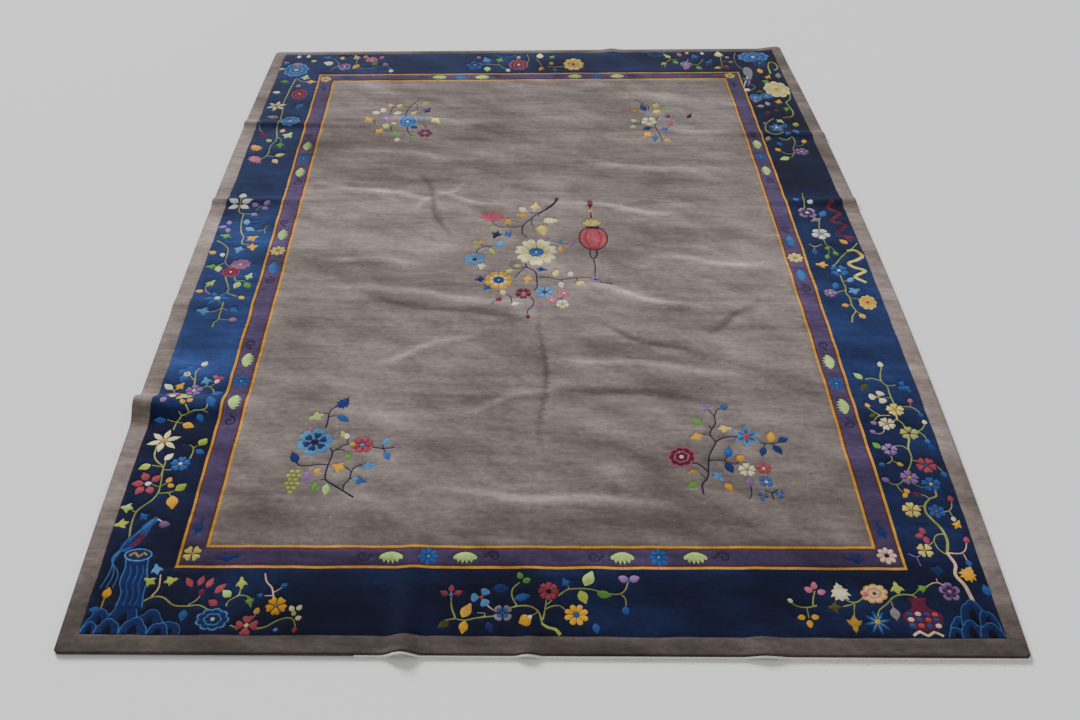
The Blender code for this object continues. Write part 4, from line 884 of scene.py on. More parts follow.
FLOWERS = (
    # near border, from the left
    Flower(-84.2, -171.2, 6.2, 4, "heart", 90, "red", None, "pale_green", "navy"),
    Flower(-77, -165, 6.0, 5, "heart", 54, "orange", None, "grey", "rust"),
    Flower(-18.6, -161.8, 6.4, 3, "round", 60, "light_blue", None, "red", None),
    Flower(-12.3, -167, 5.8, 4, "round", 45, "grey", "blue", "blue", None),
    Flower(0.9, -159.6, 6.2, 8, "heart", 0, "red", None, "navy", None),
    Flower(8.8, -167.4, 7.0, 8, "round", 20, "orange", None, "blue", None),
    Flower(94.8, -169.4, 8.0, 8, "pointed", 10, "blue", "light_blue", "orange", None),
    Flower(118.4, -159.4, 6.4, 5, "round", 90, "lilac", "plum", "pink", None),
    # right border
    Flower(115, -145, 4.8, 4, "heart", 45, "yellow", None, "bronze", None),
    Flower(114.9, -129.8, 5.8, 5, "heart", 90, "yellow", None, "bronze", None),
    Flower(122.4, -130.4, 5.2, 6, "round", 30, "blue", None, "red", None),
    Flower(123.6, -119.6, 5.8, 5, "heart", 18, "blue", None, "yellow", None),
    Flower(117.6, -117, 5.8, 5, "heart", 90, "lilac", None, "gold", None),
    Flower(124.2, -111.8, 6.2, 5, "heart", 54, "red", None, "blue", None),
    Flower(114.4, -105.2, 5.0, 5, "heart", 18, "lilac", None, "ink", None),
    Flower(122.4, -98.0, 5.8, 5, "heart", 90, "sage", None, "maroon", None),
    Flower(116.2, -93.8, 5.4, 5, "heart", 36, "cream", None, "bronze", None),
    Flower(120.5, -87.2, 5.8, 5, "heart", 90, "yellow", None, "bronze", None),
    Flower(116.4, -81.2, 6.2, 3, "round", 60, "cream", None, "bronze", None),
    Flower(114.6, 27.6, 7.6, 4, "round", 45, "lilac", "plum", "yellow", None),
    Flower(116.8, 12.6, 7.2, 5, "round", 54, "white", None, "sage", None),
    Flower(118.6, -11.6, 6.8, 4, "heart", 45, "blue", None, "white", None),
    Flower(112.2, -25.4, 4.8, 5, "heart", 0, "lilac", None, "yellow", None),
    Flower(115.8, 97, 7.0, 5, "round", 20, "blue", "light_blue", "cream", None),
    Flower(122.6, 76, 6.2, 5, "heart", 0, "lilac", None, "yellow", None),
    # far border
    Flower(-30, 161, 8.4, 5, "round", 30, "blue", "dark_blue", "light_blue", None),
    Flower(-84.2, 168, 6.4, 5, "heart", 0, "pink", None, "yellow", None),
    Flower(-97.5, 160.5, 7.0, 5, "heart", 30, "lilac", "plum", "yellow", None),
    Flower(81.5, 160.5, 6.4, 5, "heart", 20, "lilac", None, "yellow", None),
    # left border
    Flower(-124.6, 120, 9.6, 6, "pointed", 20, "cream", None, "bronze", None),
    Flower(-121.5, -28, 9.6, 6, "pointed", 0, "blue", None, "cream", None),
    Flower(-119.3, -77.9, 5.4, 5, "heart", 90, "lilac", None, "cream", None),
    Flower(-123.5, -101.6, 10.4, 6, "pointed", 20, "cream", None, "bronze", None),
    Flower(-116.3, -111.6, 6.0, 5, "heart", 18, "blue", None, "cream", None),
    Flower(-123.2, -69.6, 2.4, 5, "round", 0, "cream", None, None, None),
    # field sprays
    Flower(-75.7, -102, 12.0, 6, "heart", 20, "light_blue", "dark_blue", "ink", None),
    Flower(-59.8, -103.2, 7.4, 6, "heart", 10, "red", None, "light_blue", "ink"),
    Flower(68.4, -99.6, 10.6, 6, "pointed", 25, "light_blue", "blue", "red", None),
    Flower(66.3, -113.8, 5.6, 5, "heart", 90, "cream", None, "grey", None),
    Flower(71.8, -113.2, 5.0, 5, "heart", 20, "red", None, "cream", None),
    Flower(71.6, -119.0, 4.6, 4, "round", 45, "blue", None, "cream", None),
    Flower(69.6, -125, 3.4, 3, "round", 250, "blue", None, None, None),
    Flower(75.2, -124, 3.4, 3, "round", 280, "blue", None, None, None),
    Flower(-52.3, 93.4, 7.2, 6, "round", 0, "maroon", None, "light_blue", None),
    Flower(-71.5, 107.6, 6.4, 5, "heart", 36, "lilac", None, "yellow", None),
    Flower(55.6, 103.2, 7.6, 5, "round", 54, "cream", None, "bronze", None),
    # field, middle
    Flower(-26.3, -3.8, 8.8, 6, "round", 30, "light_blue", None, "ink", None),
    Flower(1.8, -24.4, 7.6, 6, "round", 0, "light_blue", None, "maroon", "ink"),
    Flower(-6.7, -25.4, 6.2, 5, "heart", 54, "maroon", None, "pink", None),
    Flower(-16.3, -17, 11.0, 8, "heart", 22, "orange", "cream", "blue", "plum"),
    Flower(-1.2, 1, 17.4, 7, "heart", 12, "cream", "yellow", "maroon", "plum"),
    Flower(9.4, -25, 5.0, 5, "heart", 18, "pink", None, "cream", None),
    Flower(8.6, -31.6, 5.0, 5, "heart", 54, "cream", None, "bronze", None),
    Flower(4.4, -29, 4.6, 5, "heart", 90, "pink", None, "cream", None),
    Flower(22.2, -16.8, 4.2, 4, "heart", 45, "lilac", None, "ink", None),
)

PEONIES = (
    Peony(-94.2, -169.4, 0, 9.6, 7.6, "dark_blue", "light_blue", "cream"),
    Peony(96, -160, 10, 8.4, 6.6, "peach", "orange", "maroon"),
    Peony(-117.2, -6.4, 20, 7.4, 6.4, "lilac", "pink", "cream"),
    Peony(-119.8, -11.4, 0, 6.6, 6.0, "maroon", "red", "cream"),
    Peony(-116, 105, 80, 10, 9, "blue", "light_blue", "cream"),
    Peony(-116, 132, 80, 10, 7.4, "maroon", "red", "yellow"),
    Peony(-121.5, 157.4, 90, 14.4, 12.6, "blue", "light_blue", "yellow"),
    Peony(-121.8, 163.6, 0, 5, 4.2, "lilac", "pink", "cream"),
    Peony(-7, 161.4, 90, 11.4, 10.4, "maroon", "pink", "cream"),
    Peony(22, 161.4, 90, 13.2, 11.2, "yellow", "gold", "maroon"),
    Peony(118.6, 168, 0, 16.6, 11.6, "blue", "light_blue", "white"),
    Peony(120.6, 161, 90, 7.4, 6.4, "dark_blue", "sky", "white"),
    Peony(123.4, 133.4, 90, 16, 13, "yellow", "cream", "bronze"),
    Peony(111.4, 125.4, 90, 7.4, 6, "blue", "light_blue", "white"),
    Peony(117, 127, 0, 6.4, 5.4, "blue", "light_blue", "white"),
    Peony(124.6, -31, 80, 8.4, 6.2, "gold", "yellow", "maroon"),
    Peony(45.5, -108.4, 20, 9.8, 8.8, "maroon", "pink", "cream"),
    Peony(-61, 104.4, 90, 11.4, 9.4, "blue", "light_blue", "cream"),
    Peony(-19.6, 25.6, 0, 11, 7.4, "rose", "pink", "lilac"),
    Peony(-1.2, 1, 0, 6.8, 6.6, "blue", "light_blue", "white"),
    Peony(-16.3, -17, 0, 4.6, 4.6, "dark_blue", "light_blue", "white"),
)

# Flowers set alone in the purple band, with a pale leaf on each side: along which side, where
# along it, which dye the ring is, and which the leaves are
Cluster = namedtuple("Cluster", "side place ring before after")
CLUSTERS = (
    Cluster("near", -35.0, "blue", "pale_green", "pale_green"),
    Cluster("near", 34.2, "blue", "pale_green", "pale_green"),
    Cluster("far", -37.0, "blue", "pale_green", "pale_green"),
    Cluster("far", 33.0, "blue", "pale_green", "pale_green"),
    Cluster("left", 71.6, "blue", "pale_green", "pale_green"),
    Cluster("left", 2.4, "yellow", "sky", "pale_green"),
    Cluster("left", -73.4, "blue", "pale_green", "pale_green"),
    Cluster("right", 71.0, "blue", "pale_green", "pale_green"),
    Cluster("right", -3.4, "yellow", "sky", "sky"),
    Cluster("right", -74.6, "blue", "pale_green", "pale_green"),
)
BAND_MIDDLES = {"near": -147.8, "far": 148.4, "left": -104.9, "right": 103.7}
LEAF_STEP = 11.0  # from a cluster's ring to the middle of each of its leaves
LEAF_SIZE = 7.2
RING_SIZE = 6.0
CORNER_FLOWERS = (
    Flower(-105.0, -146.8, 5.4, 4, "heart", 45, "yellow", None, "bronze", None),
    Flower(103.0, -147.0, 6.0, 8, "round", 0, "peach", None, "navy", None),
    Flower(-105.2, 147.2, 5.4, 5, "heart", 0, "yellow", None, "bronze", None),
    Flower(102.6, 148.0, 5.4, 5, "heart", 0, "yellow", None, "bronze", None),
)
# Leaves and scrolls of the purple band in its own darker and bluer wool
BAND_TONES = (
    Leaf(-105.2, -137, 80, 7, 3.2, "three", "dark_blue"),
    Leaf(-93.6, -148.2, 10, 7, 3.2, "three", "dark_blue"),
    Leaf(93.0, -148.2, 170, 7, 3.2, "three", "dark_blue"),
    Leaf(103.6, -138, 100, 7, 3.2, "three", "dark_blue"),
    Leaf(-105.0, 137.4, 280, 7, 3.2, "three", "dark_blue"),
    Leaf(-94.6, 148.2, 350, 7, 3.2, "three", "dark_blue"),
    Leaf(103.2, 138.4, 260, 7, 3.2, "three", "dark_blue"),
    Leaf(90.4, 148.2, 190, 7, 3.2, "three", "dark_blue"),
)
SCROLL_REACH = 19.5  # how far a dark scroll runs to each side of a cluster

# ---------------------------------------------------------------- motifs of only one kind
Rock = namedtuple("Rock", "across along turn wide high phase")
ROCKS = (
    Rock(-125.6, -174.2, 0, 8.6, 8.4, 0.4), Rock(-119.2, -174.2, 0, 10.4, 10.4, 2.0),
    Rock(-111.6, -174.2, 0, 9.4, 8.2, 1.1), Rock(-105.6, -174.2, 0, 7.4, 4.4, 2.9),
    Rock(-127.6, -174.2, 0, 4.8, 4.2, 0.2), Rock(-122.6, -174.2, 0, 7.2, 5.2, 3.4),
    Rock(-115.4, -174.2, 0, 8.0, 5.6, 4.4), Rock(-108.6, -174.2, 0, 6.4, 4.0, 2.2),
    Rock(118.2, -174.2, 0, 7.4, 7.0, 0.9), Rock(123.0, -174.2, 0, 9.4, 12.6, 1.7),
    Rock(126.6, -174.2, 0, 6.6, 9.4, 2.6), Rock(116.4, -174.2, 0, 5.4, 3.6, 0.1),
    Rock(121.2, -174.2, 0, 7.0, 5.8, 3.9), Rock(126.4, -174.2, 0, 7.0, 5.0, 1.2),
    Rock(-99, 174.2, 180, 9, 4.6, 0.5), Rock(-14, 174.2, 180, 12, 4.2, 1.3),
    Rock(67, 174.2, 180, 10, 4.6, 2.2),
)


def rocks():
    """The rocks at the near corners and on the far border."""
    made = []
    for row in ROCKS:
        made += rock(*row)
    return made


def pillar():
    """A weathered stone stand with a splash of gold on its round top."""
    sides = ((-123.6, -148.6), (-122.8, -152), (-123.2, -157), (-122.0, -161), (-122.4, -166),
             (-114.7, -166), (-115.5, -161), (-115.4, -157), (-116.6, -152), (-117.0, -148.6))
    made = [Patch("stone", list(sides))]
    made += ribbon("sky", 0.5, 0.5, sides[:5])
    made += ribbon("sky", 0.5, 0.5, sides[5:])
    for across in (-121.6, -119.8, -118.1):
        made += ribbon("blue", 0.4, 0.4, ((across, -151), (across + 0.7, -154), (across + 0.3, -157.6),
                                          (across + 1.3, -161), (across + 1.1, -164.6)))
    made += oval(-120.3, -147.5, 8.2, 4.8, "light_blue")
    made += oval(-120.3, -147.5, 7.2, 3.8, "stone")
    gold = ((-122.8, -147.9), (-121.4, -146.7), (-120.1, -148.2), (-118.8, -146.7), (-117.8, -147.6))
    return made + ribbon("bronze", 0.8, 0.6, gold)


def bird():
    """A long-tailed bird looking down over its stand."""
    made = []
    for bend in (0, 1.3, 2.6):
        tail = ((-124.6, -144), (-126.6 - bend / 3, -149), (-127.0 + bend, -154),
                (-128.2 + bend * 1.3, -159))
        made += ribbon("sky", 0.45, 0.4, tail)
    body = eased(((-118.6, -133.2), (-117.6, -134.6), (-118.9, -136.6), (-119.4, -139.4), (-121.4, -143.4),
                  (-124.6, -146.6), (-126.2, -145.4), (-125, -141.6), (-122.6, -138.6), (-120.8, -135.4)))
    wing = eased(((-121.2, -137.6), (-121.4, -141), (-123.8, -144.6), (-125.4, -145), (-124.4, -141.4),
                 (-122.6, -138.8)))
    belly = eased(((-120.4, -139), (-120.2, -141), (-121.6, -143.4), (-123.6, -144.8), (-122.2, -141.6)))
    made += [Patch("blue", body), Patch("dark_blue", wing), Patch("maroon", belly)]
    made += ribbon("light_blue", 0.4, 0.3, ((-119.2, -134.4), (-121.4, -138), (-124.4, -142)))
    made += ribbon("cream", 0.6, 0.4, ((-118, -134.2), (-116.6, -134.9)))
    return made


def vase():
    """A dotted vase on a zigzag foot."""
    made = [Patch("maroon", [(105.4, -165.6), (110.8, -165.6), (110, -163.8), (110.8, -161.4),
        (105.2, -161.4),
                             (106.2, -163.8)])]
    body = eased(((105.2, -165.2), (102.6, -167.4), (103.6, -170.6), (106, -172), (110.4, -172),
                 (112.8, -170.6),
                  (113.8, -167.4), (111.2, -165.2)))
    made.append(Patch("maroon", body))
    for row, along in enumerate((-166.8, -168.6, -170.4)):
        for column in range(4):
            dye = ("blue", "white", "blue", "rose")[(row + column) % 4]
            made += oval(104.6 + column * 2.4, along, 1.9, 1.5, dye, points=8)
    foot = ((104, -173.6), (106, -172.4), (108, -173.6), (110, -172.4), (112.4, -173.6))
    return made + ribbon("cream", 0.8, 0.8, foot)


def phoenix():
    """The pale bird of the far right corner, with its hanging tail."""
    body = eased(((112.2, 157), (114.6, 155.4), (115, 151.6), (114, 147.4), (112, 144.6), (110.6, 148),
                 (110.2, 153)))
    made = [Patch("grey", body)]
    made += ribbon("lilac", 1.2, 0.7, ((112.4, 146), (111.4, 141), (109.6, 137)))
    made += ribbon("cream", 0.9, 0.6, ((111.4, 146.6), (109.8, 142), (107.2, 135)))
    made += ribbon("light_blue", 0.9, 0.6, ((112, 155), (112.6, 151), (112, 147.6)))
    return made


def sashes():
    """The knotted ribbons of the right border."""
    made = ribbon("maroon", 1.7, 1.3, ((126.5, 36), (124, 31.4), (127.4, 27), (123.2, 22.2), (127.8, 18.4),
                                       (123.2, 13.8), (125.6, 11), (129, 10)))
    made += ribbon("maroon", 1.2, 0.9, ((125.6, 11), (127.4, 7.6)))
    made += ribbon("yellow", 1.4, 1.2, ((124.4, 1), (127.4, 1.4), (129, -2.2), (126.8, -4.6), (123.2, -7),
                                        (124.6, -9.6), (128, -12), (123.6, -15.6), (126.8, -19)))
    return made


def lantern():
    """A round lantern under its tassel, with a crown of petals and a looped cord."""
    made = ribbon("ink", 0.5, 0.5, ((22.7, 24), (22.6, 26), (22.7, 32.4)))
    made += oval(22.7, 34.8, 2.6, 5.4, "maroon")
    made += oval(22.7, 29.4, 2.2, 1.8, "gold")
    for turn, size in ((150, 4.4), (118, 4.6), (90, 4.8), (62, 4.6), (30, 4.4)):
        petal = turned(eased(whole(HALF_LEAVES["round"], size, 2.0), 0.6), 22.7, 19.2, turn)
        made.append(Patch("yellow" if turn != 90 else "orange", petal))
    made += oval(22.8, 10.2, 12.4, 16.2, "plum")
    made += oval(22.8, 10.2, 11.4, 15.2, "rose")
    for across in (-3.4, 3.4):
        made += ribbon("red", 0.5, 0.4, ((22.8 + across * 0.6, 15.8), (22.8 + across, 10.2),
                                         (22.8 + across * 0.6, 4.6)))
    made += ribbon("pink", 1.0, 0.7, ((22.8, 14.4), (22.8, 6)))
    made += [Patch("ink", [(20.2, 17), (25.4, 17), (25.6, 18.4), (20, 18.4)])]
    made += ribbon("ink", 0.5, 0.5, ((21, 2.6), (21, -1.6), (22.2, -3.4), (23.6, -1.6), (23.8, 2.6)))
    made += ribbon("plum", 0.5, 0.4, ((22.2, -3.4), (22.4, -9), (22, -15)))
    return made


def grapes():
    """A hanging bunch of pale grapes."""
    made = []
    for row, count in enumerate((2, 3, 2, 3, 2, 1)):
        for i in range(count):
            made += oval(-80.2 + (i - (count - 1) / 2) * 1.7, -114.6 - row * 1.75, 1.6, 1.5,
                "yellow_green", points=8)
    return made


def clusters():
    """The flower groups of the purple band, each with its scrolls of darker wool."""
    made = []
    for row in CLUSTERS:
        middle = BAND_MIDDLES[row.side]
        level = row.side in ("near", "far")
        hang = {"near": 0, "far": 0, "left": 90, "right": 270}[row.side]
        for step, dye in ((-LEAF_STEP, row.before), (LEAF_STEP, row.after)):
            spot = (row.place + step, middle) if level else (middle, row.place + step)
            made += comb_leaf(*spot, hang, LEAF_SIZE, dye)
        for way in (-1, 1):
            run = row.place + way * SCROLL_REACH
            spot = (run, middle) if level else (middle, run)
            made += spiral(*spot, (0 if way > 0 else 180) + (0 if level else 90), 1.9, "plum", 0.6)
        spot = (row.place, middle) if level else (middle, row.place)
        heart = "light_blue" if row.ring == "blue" else "bronze"
        made += flower(Flower(*spot, RING_SIZE, 8, "round", 0, row.ring, None, heart, "midnight"))
    return made


# ---------------------------------------------------------------- the whole drawn design
STEM_WIDTH = 0.68  # of the widths that STEMS gives
LARGE_FLOWER = 16  # flowers this wide are laid over the peonies
MIDDLE_HEART = PEONIES[-2]  # the heart of the large middle flower, laid again on top of it


def design():
    """Every patch of colour inside the outer band, in the order they are laid."""
    patches = []
    for ground in GROUNDS:
        patches.append(Patch(ground.dye, box_outline(ground)))
    for row in BAND_TONES:
        patches += leaf(row)
    patches += clusters()
    for row in CORNER_FLOWERS:
        patches += flower(row)
    for stem in STEMS:
        patches += ribbon(stem.dye, stem.thick * STEM_WIDTH, stem.thin * STEM_WIDTH, stem.points)
    patches += rocks() + pillar() + bird() + sashes() + phoenix() + vase()
    for row in LEAVES:
        patches += leaf(row)
    for row in FLOWERS:
        if row.size < LARGE_FLOWER:
            patches += flower(row)
    for row in PEONIES:
        patches += peony(row)
    for row in FLOWERS:
        if row.size >= LARGE_FLOWER:
            patches += flower(row)
    patches += peony(MIDDLE_HEART) + lantern() + grapes()
    for row in BUDS:
        patches += bud(row)
    return patches


def box_outline(ground):
    """A rectangle's outline with points close enough to stray."""
    corners = ((ground.left, ground.near), (ground.right, ground.near), (ground.right, ground.far),
               (ground.left, ground.far))
    points = []
    for a, b in zip(corners, corners[1:] + corners[:1]):
        parts = round(math.hypot(b[0] - a[0], b[1] - a[1]) / GROUND_STEP)
        points += [(a[0] + (b[0] - a[0]) * k / parts,
            a[1] + (b[1] - a[1]) * k / parts) for k in range(parts)]
    return points


def strayed(point):
    """A drawn point where the knots put it, a little off the line."""
    at = Vector((point[0] / STRAY_LENGTH, point[1] / STRAY_LENGTH, 3.7))
    x = UNSTEADY * noise.noise(at) * NOISE_GAIN
    y = UNSTEADY * noise.noise(at + Vector((0, 0, 11.3))) * NOISE_GAIN
    return point[0] + x, point[1] + y


def anticlockwise(points):
    area = sum(a[0] * b[1] - b[0] * a[1] for a, b in zip(points, points[1:] + points[:1]))
    return points if area > 0 else points[::-1]


# ---------------------------------------------------------------- the carpet as it lies
def lie(across, along):
    """Where a point of the flat carpet comes to lie on the floor, in metres."""
    side = across / HALF_WIDTH
    end = along / FAR_END
    x = across - AXIS_SWAY * end**2 + SIDE_BELLY * side**BELLY_POWER * (1 - end**2)
    y = along + across * (ENDS_SKEW + ENDS_SPREAD * along)
    return x, y - BOX_CENTRE_Y


CREASE_WANDER = 0.012  # how far a crease leaves its straight line
BUMPS, BUMPS_EACH = 0.0014, 7  # height of the broad unevenness, and how many lie in a metre
DIMPLES, DIMPLES_EACH = 0.0007, 19
EDGE_CALM = 0.05  # the unevenness dies out over this distance from the edge


def fold_height(fold, across, along):
    """How high one fold lifts a place: a rounded ridge that fades from its edge to its tip."""
    run = (fold.tip[0] - fold.edge[0], fold.tip[1] - fold.edge[1])
    length = math.hypot(*run)
    from_edge = (across - fold.edge[0], along - fold.edge[1])
    share = (from_edge[0] * run[0] + from_edge[1] * run[1]) / length**2
    aside = (run[0] * from_edge[1] - run[1] * from_edge[0]) / length
    width = fold.width_left if aside > 0 else fold.width_right
    if share >= 1 or abs(aside) >= width:
        return 0.0
    return fold.rise * (0.5 + 0.5 * math.cos(math.pi * aside / width)) * (1 - max(share, 0.0)) ** fold.fade


def lift(across, along):
    """How high the folds lift a place off the floor."""
    return max(fold_height(fold, across, along) for fold in FOLDS)


def crease_height(crease, across, along):
    """How far one crease raises or sinks the pile at a place."""
    run = (crease.end[0] - crease.start[0], crease.end[1] - crease.start[1])
    length = math.hypot(*run)
    from_start = (across - crease.start[0], along - crease.start[1])
    share = (from_start[0] * run[0] + from_start[1] * run[1]) / length**2
    aside = (run[0] * from_start[1] - run[1] * from_start[0]) / length
    aside += CREASE_WANDER * math.sin(9 * share + 20 * crease.start[0])
    if not 0 < share < 1 or abs(aside) >= crease.width:
        return 0.0
    ridge = crease.rise * (0.5 + 0.5 * math.cos(math.pi * aside / crease.width))
    return ridge * math.sin(math.pi * share) ** 0.7


def relief(across, along):
    """The unevenness of worn pile above the plain lie of the carpet."""
    at = Vector((across, along, 0))
    height = BUMPS * noise.noise(at * BUMPS_EACH) + DIMPLES * noise.noise(at * DIMPLES_EACH)
    height += sum(crease_height(crease, across, along) for crease in CREASES)
    edge = min(HALF_WIDTH - abs(across), along - NEAR_END, FAR_END - along)
    return height * min(1.0, max(0.0, edge / EDGE_CALM))


# ---------------------------------------------------------------- the pile as one closed mesh
RIM_STEP = 0.015
CORNER_ROUND = 0.010
# From the edge of the flat top down over the side and in under it: inset, and height
RIM = (
    (0.0060, 0.0120), (0.0030, 0.0114), (0.0008, 0.0092), (0.0, 0.0060), (0.0005, 0.0026), (0.0030, 0.0004),
)
GROOVE_DEPTH = 0.0012
# How much darker the colour in a groove is painted: painted shade in the carved grooves
GROOVE_SHADE = 0.80
BESIDE = 0.33  # how far beside a line its colour's first row of points stands, in centimetres
GRID = 2.8  # the spacings of the free points, in centimetres
FINE_GRID = 1.4
BACK_GRID = 5.0
GRID_INSET = 1.5
ROW_HEIGHT = 0.866  # of the spacing, in a net of even triangles
NEAREST = 0.25  # points closer than this to a line's own are left out
SPECKS = 90
MOTIF_VARY = 0.10  # how far a motif's wool may be off its dye
FOLD_SEEN = 0.0004  # a lift or a crease lower than these needs no finer net
CREASE_SEEN = 0.0003
RIM_TOP, RIM_PAINTED_LIGHT, RIM_PAINTED_SHADE = 0.008, 0.95, 0.80  # rings of the side above this height are painted light, lower ones painted in shade
BACK_HEIGHT = 0.0002
BACK_ROOM = 0.012
BACK_LIGHT = 0.92  # of the outer band's dye, on the sides and the back


def margin(inset):
    """The outline of the carpet, in metres, with as many points whatever the inset."""
    left, right = -HALF_WIDTH + inset, HALF_WIDTH - inset
    near, far = NEAR_END + inset, FAR_END - inset
    corner = CORNER_ROUND
    points = []
    across_parts = round(2 * HALF_WIDTH / RIM_STEP)
    along_parts = round((FAR_END - NEAR_END) / RIM_STEP)
    corners = ((left, near), (right, near), (right, far), (left, far))
    for i, (a, b) in enumerate(zip(corners, corners[1:] + corners[:1])):
        parts = across_parts if i % 2 == 0 else along_parts
        length = math.hypot(b[0] - a[0], b[1] - a[1])
        way = ((b[0] - a[0]) / length, (b[1] - a[1]) / length)
        for k in range(parts):
            run = corner + (length - 2 * corner) * k / (parts - 1)
            points.append((a[0] + way[0] * run, a[1] + way[1] * run))
    return points


def lattice(step, fine, wanted):
    """Points of a triangular grid, in centimetres, `fine` where the carpet is folded."""
    low_x, high_x = -HALF_WIDTH * 100 + GRID_INSET, HALF_WIDTH * 100 - GRID_INSET
    low_y, high_y = NEAR_END * 100 + GRID_INSET, FAR_END * 100 - GRID_INSET
    points = []
    for spacing, only_folds in ((step, False), (fine, True)):
        rows = int((high_y - low_y) / (spacing * ROW_HEIGHT))
        for j in range(rows + 1):
            y = low_y + (high_y - low_y) * j / rows
            x = low_x + (spacing / 2 if j % 2 else 0)
            while x < high_x:
                if not only_folds or wanted(x / 100, y / 100):
                    points.append((x, y))
                x += spacing
    return points


def lifted(across, along):
    return lift(across, along) > FOLD_SEEN


def folded(across, along):
    if lifted(across, along):
        return True
    return any(abs(crease_height(crease, across, along)) > CREASE_SEEN for crease in CREASES)


class Room:
    """Keeps free points a little away from those already placed, by marking small cells."""

    def __init__(self, cell):
        self.cell = cell
        self.taken = set()

    def key(self, point):
        return round(point[0] / self.cell), round(point[1] / self.cell)

    def mark(self, point):
        i, j = self.key(point)
        self.taken.update((i + a, j + b) for a in (-1, 0, 1) for b in (-1, 0, 1))

    def free(self, point):
        return self.key(point) not in self.taken


def gathered(patches):
    """All points and closed outlines of the top, in centimetres, with the free points between."""
    verts = []
    faces = []
    room = Room(NEAREST / 2)
    for patch in patches:
        first = len(verts)
        verts += patch.points
        faces.append(list(range(first, len(verts))))
        for a, b in zip(patch.points, patch.points[1:] + patch.points[:1]):
            parts = max(1, int(math.hypot(b[0] - a[0], b[1] - a[1]) / room.cell))
            for k in range(parts):
                room.mark((a[0] + (b[0] - a[0]) * k / parts, a[1] + (b[1] - a[1]) * k / parts))
    extra = []
    for patch in patches[1:]:
        extra += beside(patch.points, room)
    for point in lattice(GRID, FINE_GRID, folded):
        if room.free(point):
            room.mark(point)
            extra.append(point)
    return verts + extra, faces


def beside(points, room):
    """Free points on both sides of an outline, which keep its groove narrow."""
    made = []
    count = len(points)
    for i in range(count):
        before, here, after = (Vector(points[(i + k) % count]) for k in (-1, 0, 1))
        way = after - before
        if way.length < 1e-6:
            continue
        aside = Vector((way.y, -way.x)).normalized() * BESIDE
        for point in (tuple(here + aside), tuple(here - aside)):
            if room.free(point):
                room.mark(point)
                made.append(point)
    return made


def prepared():
    """The design's patches, strayed a little and turned the same way round, over the outer band."""
    whole_carpet = [(x * 100, y * 100) for x, y in margin(RIM[0][0])]
    patches = [Patch("band", whole_carpet)]
    for patch in design():
        patches.append(Patch(patch.dye, anticlockwise([strayed(p) for p in patch.points])))
    picker = random.Random(41)
    field = GROUNDS[-1]
    for _ in range(SPECKS):
        across = picker.uniform(field.left + 2, field.right - 2)
        along = picker.uniform(field.near + 2, field.far - 2)
        patches += oval(across, along, picker.uniform(0.3, 0.55), 0.4, "white", points=4)
    return patches


def mixed(a, b, share):
    return tuple(x + (y - x) * share for x, y in zip(a, b))


# Three tables of place along, level at the left side and level at the right side: how light the field
# and the purple band are painted, how light the outer band is painted, and how far the navy is painted
# from shaded to lit blue. All three are painted light and shade, from the lie of the pile and the light.
PILE_SHADE_PAINTED = (
    (-180, 0.62, 0.66), (-168, 0.64, 0.68), (-155, 0.70, 0.74), (-138, 0.83, 0.75), (-115, 0.90, 0.84),
    (-80, 0.95, 0.90), (-40, 0.94, 0.95), (0, 0.98, 0.99), (30, 1.00, 1.00), (60, 0.88, 0.96),
    (95, 0.84, 0.92), (130, 0.90, 0.96), (178, 0.86, 0.84),
)
BAND_SHADE_PAINTED = (
    (-180, 0.64, 0.66), (-172, 0.62, 0.74), (-155, 0.84, 0.90), (-120, 1.10, 0.94), (-100, 0.96, 1.06),
    (-60, 1.04, 1.10), (-20, 1.20, 1.08), (30, 1.27, 1.09), (80, 1.20, 0.86), (130, 1.16, 1.06),
    (178, 0.98, 0.86),
)
NAVY_LIGHT_PAINTED = (
    (-180, 0.00, 0.04), (-150, 0.04, 0.14), (-125, 0.08, 0.18), (-93, 0.10, 0.32), (-84, 0.45, 0.46),
    (-60, 0.92, 0.58), (-20, 0.75, 0.60), (30, 0.50, 0.22), (65, 0.42, 0.06), (110, 0.45, 0.12),
    (178, 0.52, 0.24),
)
# The navy as painted in shade, and as painted lit by the light and sheen on its pile
SHADED_NAVY = (18, 22, 45)
LIT_NAVY = (48, 70, 124)
CREASE_LIGHT_PAINTED = 0.24  # painted light on a crease ridge this high and painted shade in a trough, with the pile opened on the ridges
CREASE_LIGHT_HEIGHT = 0.004
NAVY_LIGHT_PATCHES = 0.28  # how far the navy's painted light varies from place to place
MOTIF_LOW, MOTIF_SHADE_SHARE = 0.45, 0.5  # the motifs are painted darker with the same shade, but less than the field
GAMMA = 2.2


def level_at(rows, across, along):
    """The level of a table of places along the carpet, between its rows and its two sides."""
    for low, high in zip(rows, rows[1:]):
        if along <= high[0]:
            break
    share = min(1.0, max(0.0, (along - low[0]) / (high[0] - low[0])))
    left = low[1] + (high[1] - low[1]) * share
    right = low[2] + (high[2] - low[2]) * share
    side = min(1.0, max(0.0, across / 200 + 0.5))
    return left + (right - left) * side


